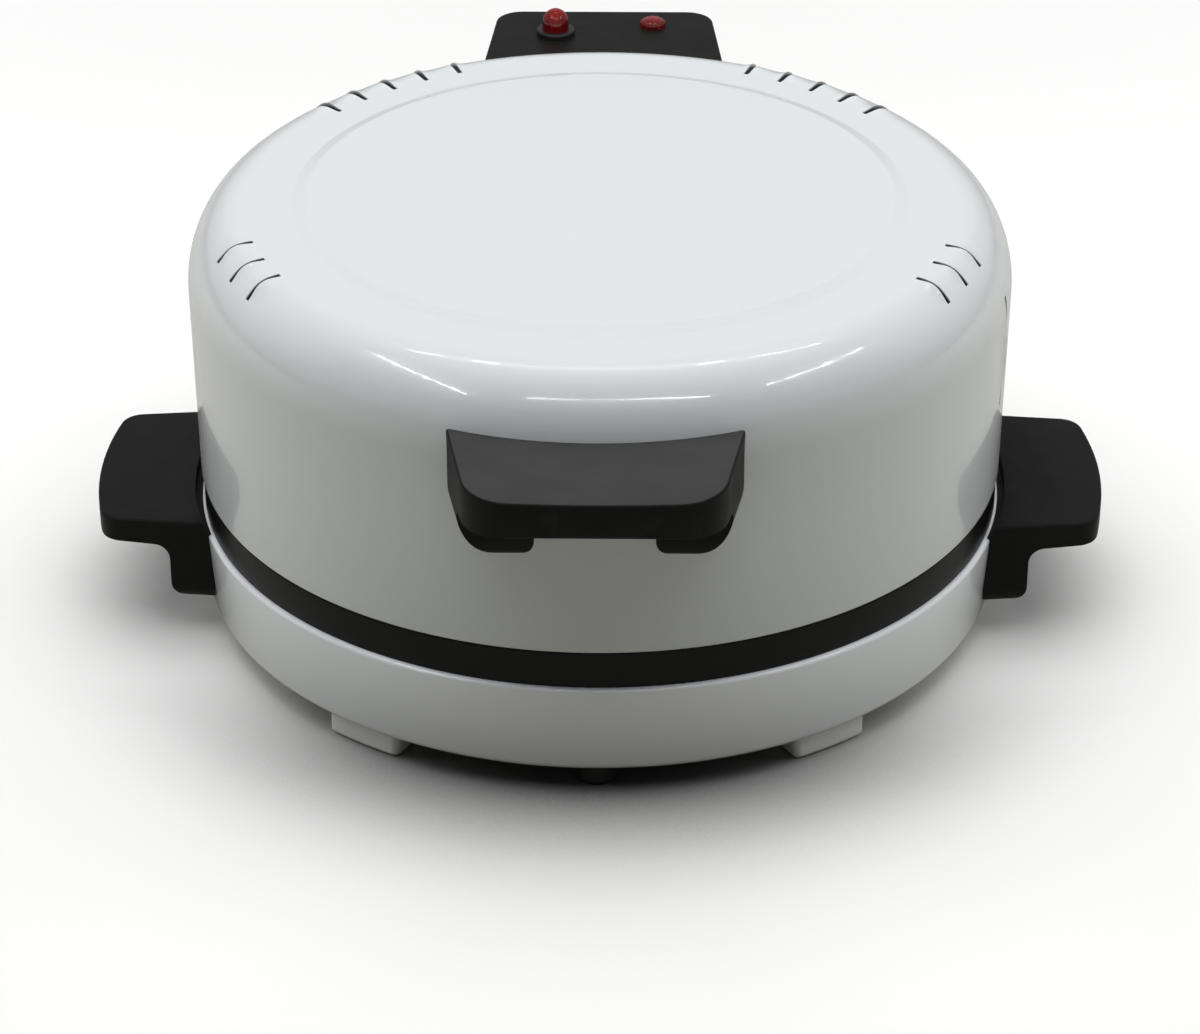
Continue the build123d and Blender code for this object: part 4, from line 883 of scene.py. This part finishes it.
@dataclass
class BaseShell:
    """The enamelled base drum with its flange below and its ledge above."""

    foot_height: float = 12.5
    bottom_r: float = 203.5
    rim_r: float = 206.7
    rim_z: float = 60.0
    corner: float = 4.0
    rim_round: float = 2.0
    flange: float = 25.0
    ledge: float = 6.0
    sheet: float = 1.2
    cut_round: float = 0.3

    def build(self) -> None:
        """Turns the drum's closed profile round Z."""
        s, cut = self.sheet, self.cut_round
        flange_r, ledge_r = self.bottom_r - self.flange, self.rim_r - self.ledge
        profile = rounded_path(
            [
                (ledge_r, self.rim_z - s),
                (ledge_r, self.rim_z),
                (self.rim_r, self.rim_z),
                (self.bottom_r, self.foot_height),
                (flange_r, self.foot_height),
                (flange_r, self.foot_height + s),
                (self.bottom_r - s, self.foot_height + s),
                (self.rim_r - s, self.rim_z - s),
                (ledge_r, self.rim_z - s),
            ],
            [cut, self.rim_round, self.corner, cut, cut, self.corner - s, self.rim_round - s],
        )
        put(revolve("base_drum", profile), Body.BASE, Slot.ENAMEL, BASE_ENAMEL, "base_shell")


@dataclass
class BakingPlate:
    """The non-stick plate in its band."""

    band_r: float = 204.0
    band_top: float = 79.0
    band_wall: float = 4.0
    plate_top: float = 70.0
    plate_under: float = 66.0
    base_rim: float = 60.0
    spigot_r: float = 200.1
    spigot_low: float = 57.0
    spigot_wall: float = 3.0
    plate_round: float = 4.0
    rim_round: float = 1.0
    band_foot_round: float = 0.6
    spigot_round: float = 0.4

    def build(self) -> None:
        """Turns round Z the plate's profile, which starts and ends on the axis."""
        rim, spigot = self.rim_round, self.spigot_round
        profile = rounded_path(
            [
                (0, self.plate_top),
                (self.band_r - self.band_wall, self.plate_top),
                (self.band_r - self.band_wall, self.band_top),
                (self.band_r, self.band_top),
                (self.band_r, self.base_rim),
                (self.spigot_r, self.base_rim),
                (self.spigot_r, self.spigot_low),
                (self.spigot_r - self.spigot_wall, self.spigot_low),
                (self.spigot_r - self.spigot_wall, self.plate_under),
                (0, self.plate_under),
            ],
            [self.plate_round, rim, rim, self.band_foot_round, spigot, spigot, spigot, rim],
        )
        made = revolve("plate_and_band", profile)
        put(made, Body.BASE, Slot.NONSTICK, NONSTICK, "baking_plate")


@dataclass
class LidLiner:
    """The bright reflector inside the lid."""

    wall_r: float = 182.0
    flange_r: float = 202.8
    flange_z: float = 80.7
    top_z: float = 194.9
    shoulder: float = 20.0
    rim_round: float = 1.6
    sheet: float = 0.8
    cut_round: float = 0.2

    def build(self) -> None:
        """Turns round Z an outer path and the same path drawn in by the sheet."""
        s = self.sheet
        outer = rounded_path(
            [
                (self.flange_r, self.flange_z + s),
                (self.wall_r, self.flange_z + s),
                (self.wall_r, self.top_z),
                (0, self.top_z),
            ],
            [self.rim_round, self.shoulder],
        )
        inner = rounded_path(
            [
                (0, self.top_z - s),
                (self.wall_r - s, self.top_z - s),
                (self.wall_r - s, self.flange_z),
                (self.flange_r, self.flange_z),
                (self.flange_r, self.flange_z + s),
            ],
            [self.shoulder - s, self.rim_round + s, self.cut_round],
        )
        made = revolve("dome_reflector", np.concatenate([outer, inner]))
        put(made, Body.LID, Slot.LINER, ALUMINISED, "lid_liner")


@dataclass
class Mouldings:
    """The black handles and the rear housing, with softened edges."""

    edge: float = 1.1

    def build(self) -> None:
        """Makes each moulding from its solid."""
        for node, body in (
            ("front_handle", Body.LID),
            ("rear_housing", Body.LID),
            ("left_handle", Body.BASE),
            ("right_handle", Body.BASE),
        ):
            # The front handle's top gets the painted top light
            finish = TOP_LIT_PLASTIC if node == "front_handle" else MOULDED_PLASTIC
            put(softened(f"{node}_moulding", node, self.edge), body, Slot.PLASTIC, finish, node)


@dataclass
class PilotLamp:
    """A red lens cap over its lamp body: a hollow dome on a short straight wall, ribbed inside.

    Its bulb_r is 0 where no bulb shows.
    """

    name: str
    node: str
    centre: tuple[float, float]
    radius: float
    straight: float
    height: float
    bulb_r: float = 0.0
    seat: float = 215.1
    wall: float = 1.2
    rib: float = 0.22
    bulb_low: float = 216.5
    bulb_top: float = 226.0
    dome_points: int = 18
    columns: int = 144
    bulb_columns: int = 48
    sharp_degrees: float = 50.0

    def build(self) -> None:
        """Builds the cap, and its bulb where it has one.

        The dome is r sin t by straight + rise cos t. The ribs are ripples of the inner wall that
        die away to nothing at the top.
        """
        turn = np.linspace(0, math.pi / 2, self.dome_points)
        sine, cosine = np.sin(turn), np.cos(turn)
        shoulder = self.seat + self.straight
        rise, inner_r = self.height - self.straight, self.radius - self.wall
        outer = np.stack([self.radius * sine, shoulder + rise * cosine], -1)
        inner = np.stack([inner_r * sine, shoulder + (rise - self.wall) * cosine], -1)[::-1]
        profile = np.concatenate([outer, [[self.radius, self.seat], [inner_r, self.seat]], inner])
        ripple = np.concatenate([np.zeros(len(outer) + 2), self.rib * sine[::-1]])
        cap = revolve(self.name, profile, self.columns, self.sharp_degrees, self.centre, ripple)
        put(cap, Body.LID, Slot.LENS, LENS_PLASTIC, self.node)
        if self.bulb_r:
            tip = np.stack([self.bulb_r * sine, self.bulb_top - self.bulb_r * (1 - cosine)], -1)
            profile = np.concatenate([tip, [[self.bulb_r, self.bulb_low], [0, self.bulb_low]]])
            name = f"{self.name}_bulb"
            bulb = revolve(name, profile, self.bulb_columns, self.sharp_degrees, self.centre)
            put(bulb, Body.LID, Slot.LENS, BULB_GLASS)


PILOT_LAMPS = (
    PilotLamp(
        "tall_lamp_cap", "tall_lamp_lens", centre=(-26.6, 219.89),
        radius=7.2, straight=6.5, height=14.5, bulb_r=2.6,
    ),
    PilotLamp(
        "low_lamp_cap", "low_lamp_lens", centre=(26.6, 231.93),
        radius=7.0, straight=1.5, height=4.5,
    ),
)


@dataclass
class HingeBrackets:
    """The folded steel brackets of the hinge, with their cut edges eased."""

    edge: float = 0.35

    def build(self) -> None:
        """Makes each bracket from its solid."""
        for node, body in (("hinge_base_bracket", Body.BASE), ("hinge_lid_bracket", Body.LID)):
            put(softened(f"{node}_plate", node, self.edge), body, Slot.STEEL, ZINC_PLATE, node)


@dataclass
class Feet:
    """The white wedge feet and the black round one, with softened edges."""

    edge: float = 1.2

    def build(self) -> None:
        """Makes each foot from its solid."""
        for node in ("front_left_foot", "front_right_foot", "rear_left_foot", "rear_right_foot"):
            wedge = softened(f"{node}_block", node, self.edge)
            put(wedge, Body.BASE, Slot.FOOT, FOOT_PLASTIC, node)
        cup = softened("front_centre_foot_cup", "front_centre_foot", self.edge)
        put(cup, Body.BASE, Slot.RUBBER, RUBBER, "front_centre_foot")


def dress_nodes() -> None:
    """Gives every node of the frame that still shows the finish of its material slot."""
    slots = {s["node"]: s["material_slot"] for s in frame["record"]["subparts"]}
    for name, node in frame["nodes"].items():
        finish = SLOT_FINISHES[slots[name]].material()
        node.data.materials.clear()
        node.data.materials.append(finish)
        LOG.info("%s: %s", name, finish.name)


# The studio


@dataclass(frozen=True)
class Lamp:
    """A rectangular soft light, or a tube or card that only gloss shows, in metres and watts."""

    name: str
    place: tuple[float, float, float]
    aim: tuple[float, float, float]
    size: tuple[float, float]
    watts: float
    gloss: bool = False  # seen in gloss alone; otherwise it lights and gloss doesn't show it
    along: tuple[float, float, float] = (1.0, 0.0, 0.0)  # the way that its width runs

    def build(self) -> None:
        """Makes the light and turns it to its aim."""
        data = bpy.data.lights.new(self.name, "AREA")
        data.shape = "RECTANGLE"
        data.size, data.size_y = self.size
        data.energy = self.watts
        made = linked(self.name, data)
        made.location = self.place
        made.rotation_mode = "QUATERNION"
        back = (Vector(self.place) - Vector(self.aim)).normalized()
        side = (Vector(self.along) - Vector(self.along).dot(back) * back).normalized()
        axes = Matrix((side, back.cross(side), back)).transposed()
        made.rotation_quaternion = axes.to_quaternion()
        made.visible_glossy = self.gloss
        made.visible_diffuse = not self.gloss


FILL_SIZE = (0.9, 1.0)
FILL_AIM = (0.0, 0.0, 0.1)
OVEN_TOP = (0.0, 0.0, 0.2)
CEILING = 1.5
TUBE_WIDTH = 0.03
BACKWARDS, ASKEW = (0.0, 1.0, 0.0), (0.3, 0.95, 0.0)  # ways that a tube's length runs
LAMPS = (
    # The light that shades the forms: a wide one from above and a fill on either side
    Lamp("overhead", (0.0, 0.04, 1.9), (0.0, 0.02, 0.2), (2.7, 2.3), 43.5),
    Lamp("left_fill", (-1.6, 0.25, 0.75), FILL_AIM, FILL_SIZE, 9.0),
    Lamp("right_fill", (1.6, 0.25, 0.75), FILL_AIM, FILL_SIZE, 9.0),
    # A frame of ceiling tubes, which shows as the thin streaks on the lid's shoulder
    Lamp("left_tube", (-1.02, -0.57, CEILING), OVEN_TOP, (1.2, TUBE_WIDTH), 3.4, True, BACKWARDS),
    Lamp("middle_tube", (0.14, -1.21, CEILING), OVEN_TOP, (1.28, TUBE_WIDTH), 3.4, True),
    Lamp("right_tube", (1.36, -0.48, CEILING), OVEN_TOP, (1.0, TUBE_WIDTH), 3.0, True, ASKEW),
    Lamp("back_tube", (0.05, 0.45, CEILING), OVEN_TOP, (1.25, TUBE_WIDTH), 1.8, True),
    # The pale wall behind, which flat glossy tops look at
    Lamp("back_card", (0.0, 2.6, 1.5), OVEN_TOP, (3.4, 1.5), 3.0, True),
)


@dataclass
class Studio:
    """Camera, floor, world and lights. Lengths are in metres unless they are named otherwise."""

    focal_px: float = 3935.17
    image_width: float = 1200.0
    sensor_mm: float = 36.0
    clip: tuple[float, float] = (0.05, 50.0)
    distance: float = 2.0536
    elevation: float = 29.894
    azimuth: float = 0.6
    aim_z: float = 0.0362
    floor_half: float = 6.0
    floor_seen: str = "FEFEFD"  # as the camera sees it
    floor_thrown: str = "AAA99E"  # as it throws light back
    floor_roughness: float = 0.9
    white_from: float = 0.5  # where the floor begins to turn to white of its own
    white_at: float = 1.15
    # The contact shadow that these set is painted into the floor's colour
    contact: float = 0.1  # how far the contact shadow reaches
    contact_rays: int = 8
    contact_from: float = 0.45  # open share at which the shadow is full
    contact_at: float = 0.95  # and at which there is none
    front_from: float = -0.2  # where the shadow begins to ease along Y
    front_at: float = -0.08
    front_shade: float = 0.12  # what the shadow leaves of the floor in front of the oven
    side_shade: float = 0.85  # and beside it
    gloss_share: float = 0.24  # share of the white room that gloss sees near the horizon
    sky_gloss: float = 0.3  # and overhead
    sky_from: float = 0.45  # upward part of a ray at which the sky begins
    dim_room: float = 0.07  # share of the white room that lights the oven

    def looked_at(self, tree: Tree, gloss_value: float | Socket) -> Socket:
        """How far a ray sees the white studio rather than the dim one.

        Args:
            tree: the node tree that the test goes into.
            gloss_value: what glossy rays see.

        Returns:
            A socket that is 1 for camera and transmission rays, gloss_value for glossy ones, or 0.
        """
        ray = add_node(tree, "ShaderNodeLightPath").outputs
        direct = {0: ray["Is Camera Ray"], 1: ray["Is Transmission Ray"]}
        mirrored = {0: ray["Is Glossy Ray"], 1: gloss_value}
        either = {
            0: add_node(tree, "ShaderNodeMath", direct, operation="MAXIMUM").outputs[0],
            1: add_node(tree, "ShaderNodeMath", mirrored, operation="MULTIPLY").outputs[0],
        }
        return add_node(tree, "ShaderNodeMath", either, operation="MAXIMUM").outputs[0]

    def camera(self) -> None:
        """Sets the camera on a ray from the aim point, turned and raised by its two angles."""
        a, e = math.radians(self.azimuth), math.radians(self.elevation)
        back = Vector((math.sin(a) * math.cos(e), -math.cos(a) * math.cos(e), math.sin(e)))
        data = bpy.data.cameras.new("camera")
        data.sensor_width = self.sensor_mm
        data.lens = self.focal_px / self.image_width * self.sensor_mm
        data.clip_start, data.clip_end = self.clip
        made = linked("camera", data)
        made.location = Vector((0, 0, self.aim_z)) + back * self.distance
        made.rotation_mode = "QUATERNION"
        made.rotation_quaternion = (-back).to_track_quat("-Z", "Y")
        bpy.context.scene.camera = made

    def floor_colour(self, tree: Tree, place: Socket) -> Socket:
        """The floor's colour, pale to the camera and dark to the light, under a painted contact
        shadow.

        The painted shadow darkens the colour where ambient occlusion finds the oven near; it is
        deep in front of the oven and light beside it.

        Args:
            tree: the floor's node tree.
            place: the coordinate socket in metres.

        Returns:
            The colour's output socket.
        """
        colours = {
            MIX_FACTOR: self.looked_at(tree, self.gloss_share),
            MIX_A: linear(self.floor_thrown),
            MIX_B: linear(self.floor_seen),
        }
        colour = add_node(tree, "ShaderNodeMix", colours, data_type="RGBA")
        deepest = add_node(
            tree,
            "ShaderNodeMapRange",
            {
                "Value": add_node(tree, "ShaderNodeSeparateXYZ", {"Vector": place}).outputs["Y"],
                "From Min": self.front_from,
                "From Max": self.front_at,
                "To Min": self.front_shade,
                "To Max": self.side_shade,
            },
            interpolation_type="SMOOTHSTEP",
        )
        # Painted contact shadow: the floor's colour is darkened where the oven is near
        reach = {"Distance": self.contact}
        sky = add_node(tree, "ShaderNodeAmbientOcclusion", reach, samples=self.contact_rays)
        depth = add_node(
            tree,
            "ShaderNodeMapRange",
            {
                "Value": sky.outputs["AO"],
                "From Min": self.contact_from,
                "From Max": self.contact_at,
                "To Min": deepest.outputs["Result"],
            },
        )
        parts = {0: colour.outputs[MIX_RESULT], "Scale": depth.outputs["Result"]}
        return add_node(tree, "ShaderNodeVectorMath", parts, operation="SCALE").outputs["Vector"]

    def floor(self) -> None:
        """Lays a plain pale floor, which turns by distance to a white that meets the white room."""
        h = self.floor_half
        mesh = bpy.data.meshes.new("floor")
        mesh.from_pydata([(-h, -h, 0), (h, -h, 0), (h, h, 0), (-h, h, 0)], [], [(0, 1, 2, 3)])
        made = linked("floor", mesh)
        paint = bpy.data.materials.new("pale_floor")
        paint.use_nodes = True
        tree = paint.node_tree
        shader = tree.nodes["Principled BSDF"]
        shader.inputs["Roughness"].default_value = self.floor_roughness
        shader.inputs["Specular IOR Level"].default_value = 0.0
        place = add_node(tree, "ShaderNodeTexCoord").outputs["Object"]
        tree.links.new(self.floor_colour(tree, place), shader.inputs["Base Color"])
        away = add_node(tree, "ShaderNodeVectorMath", {0: place}, operation="LENGTH")
        length = away.outputs["Value"]
        far = add_node(
            tree,
            "ShaderNodeMapRange",
            {"Value": length, "From Min": self.white_from, "From Max": self.white_at},
            interpolation_type="SMOOTHSTEP",
        )
        both = {0: far.outputs["Result"], 1: self.looked_at(tree, 0.0)}
        white = add_node(tree, "ShaderNodeMath", both, operation="MULTIPLY").outputs[0]
        glow = add_node(tree, "ShaderNodeEmission").outputs[0]
        blend = add_node(tree, "ShaderNodeMixShader", {0: white, 1: shader.outputs[0], 2: glow})
        tree.links.new(blend.outputs[0], tree.nodes["Material Output"].inputs["Surface"])
        mesh.materials.append(paint)

    def world(self) -> None:
        """Makes a world that is white to the camera, a soft sky to gloss and dim to the light."""
        world = bpy.data.worlds.new("studio")
        world.use_nodes = True
        tree = world.node_tree
        ray = add_node(tree, "ShaderNodeTexCoord").outputs["Generated"]
        up = add_node(tree, "ShaderNodeSeparateXYZ", {"Vector": ray}).outputs["Z"]
        sky = add_node(
            tree,
            "ShaderNodeMapRange",
            {
                "Value": up,
                "From Min": self.sky_from,
                "To Min": self.gloss_share,
                "To Max": self.sky_gloss,
            },
            interpolation_type="SMOOTHSTEP",
        )
        room = {"Value": self.looked_at(tree, sky.outputs["Result"]), "To Min": self.dim_room}
        strength = add_node(tree, "ShaderNodeMapRange", room).outputs["Result"]
        background = tree.nodes["Background"]
        tree.links.new(strength, background.inputs["Strength"])
        background.inputs["Color"].default_value = (1, 1, 1, 1)
        bpy.context.scene.world = world

    def build(self) -> None:
        """Sets up the whole studio."""
        self.camera()
        self.floor()
        self.world()
        for lamp in LAMPS:
            lamp.build()
        bpy.context.scene.view_settings.view_transform = "Standard"


def main() -> None:
    """Builds the oven and its studio in order."""
    logging.basicConfig(level=logging.INFO, format="%(name)s: %(message)s")
    Studio().build()
    dress_nodes()
    LidShell().build()
    BaseShell().build()
    BakingPlate().build()
    LidLiner().build()
    Mouldings().build()
    for lamp in PILOT_LAMPS:
        lamp.build()
    HingeBrackets().build()
    Feet().build()


if __name__ == "__main__":
    main()
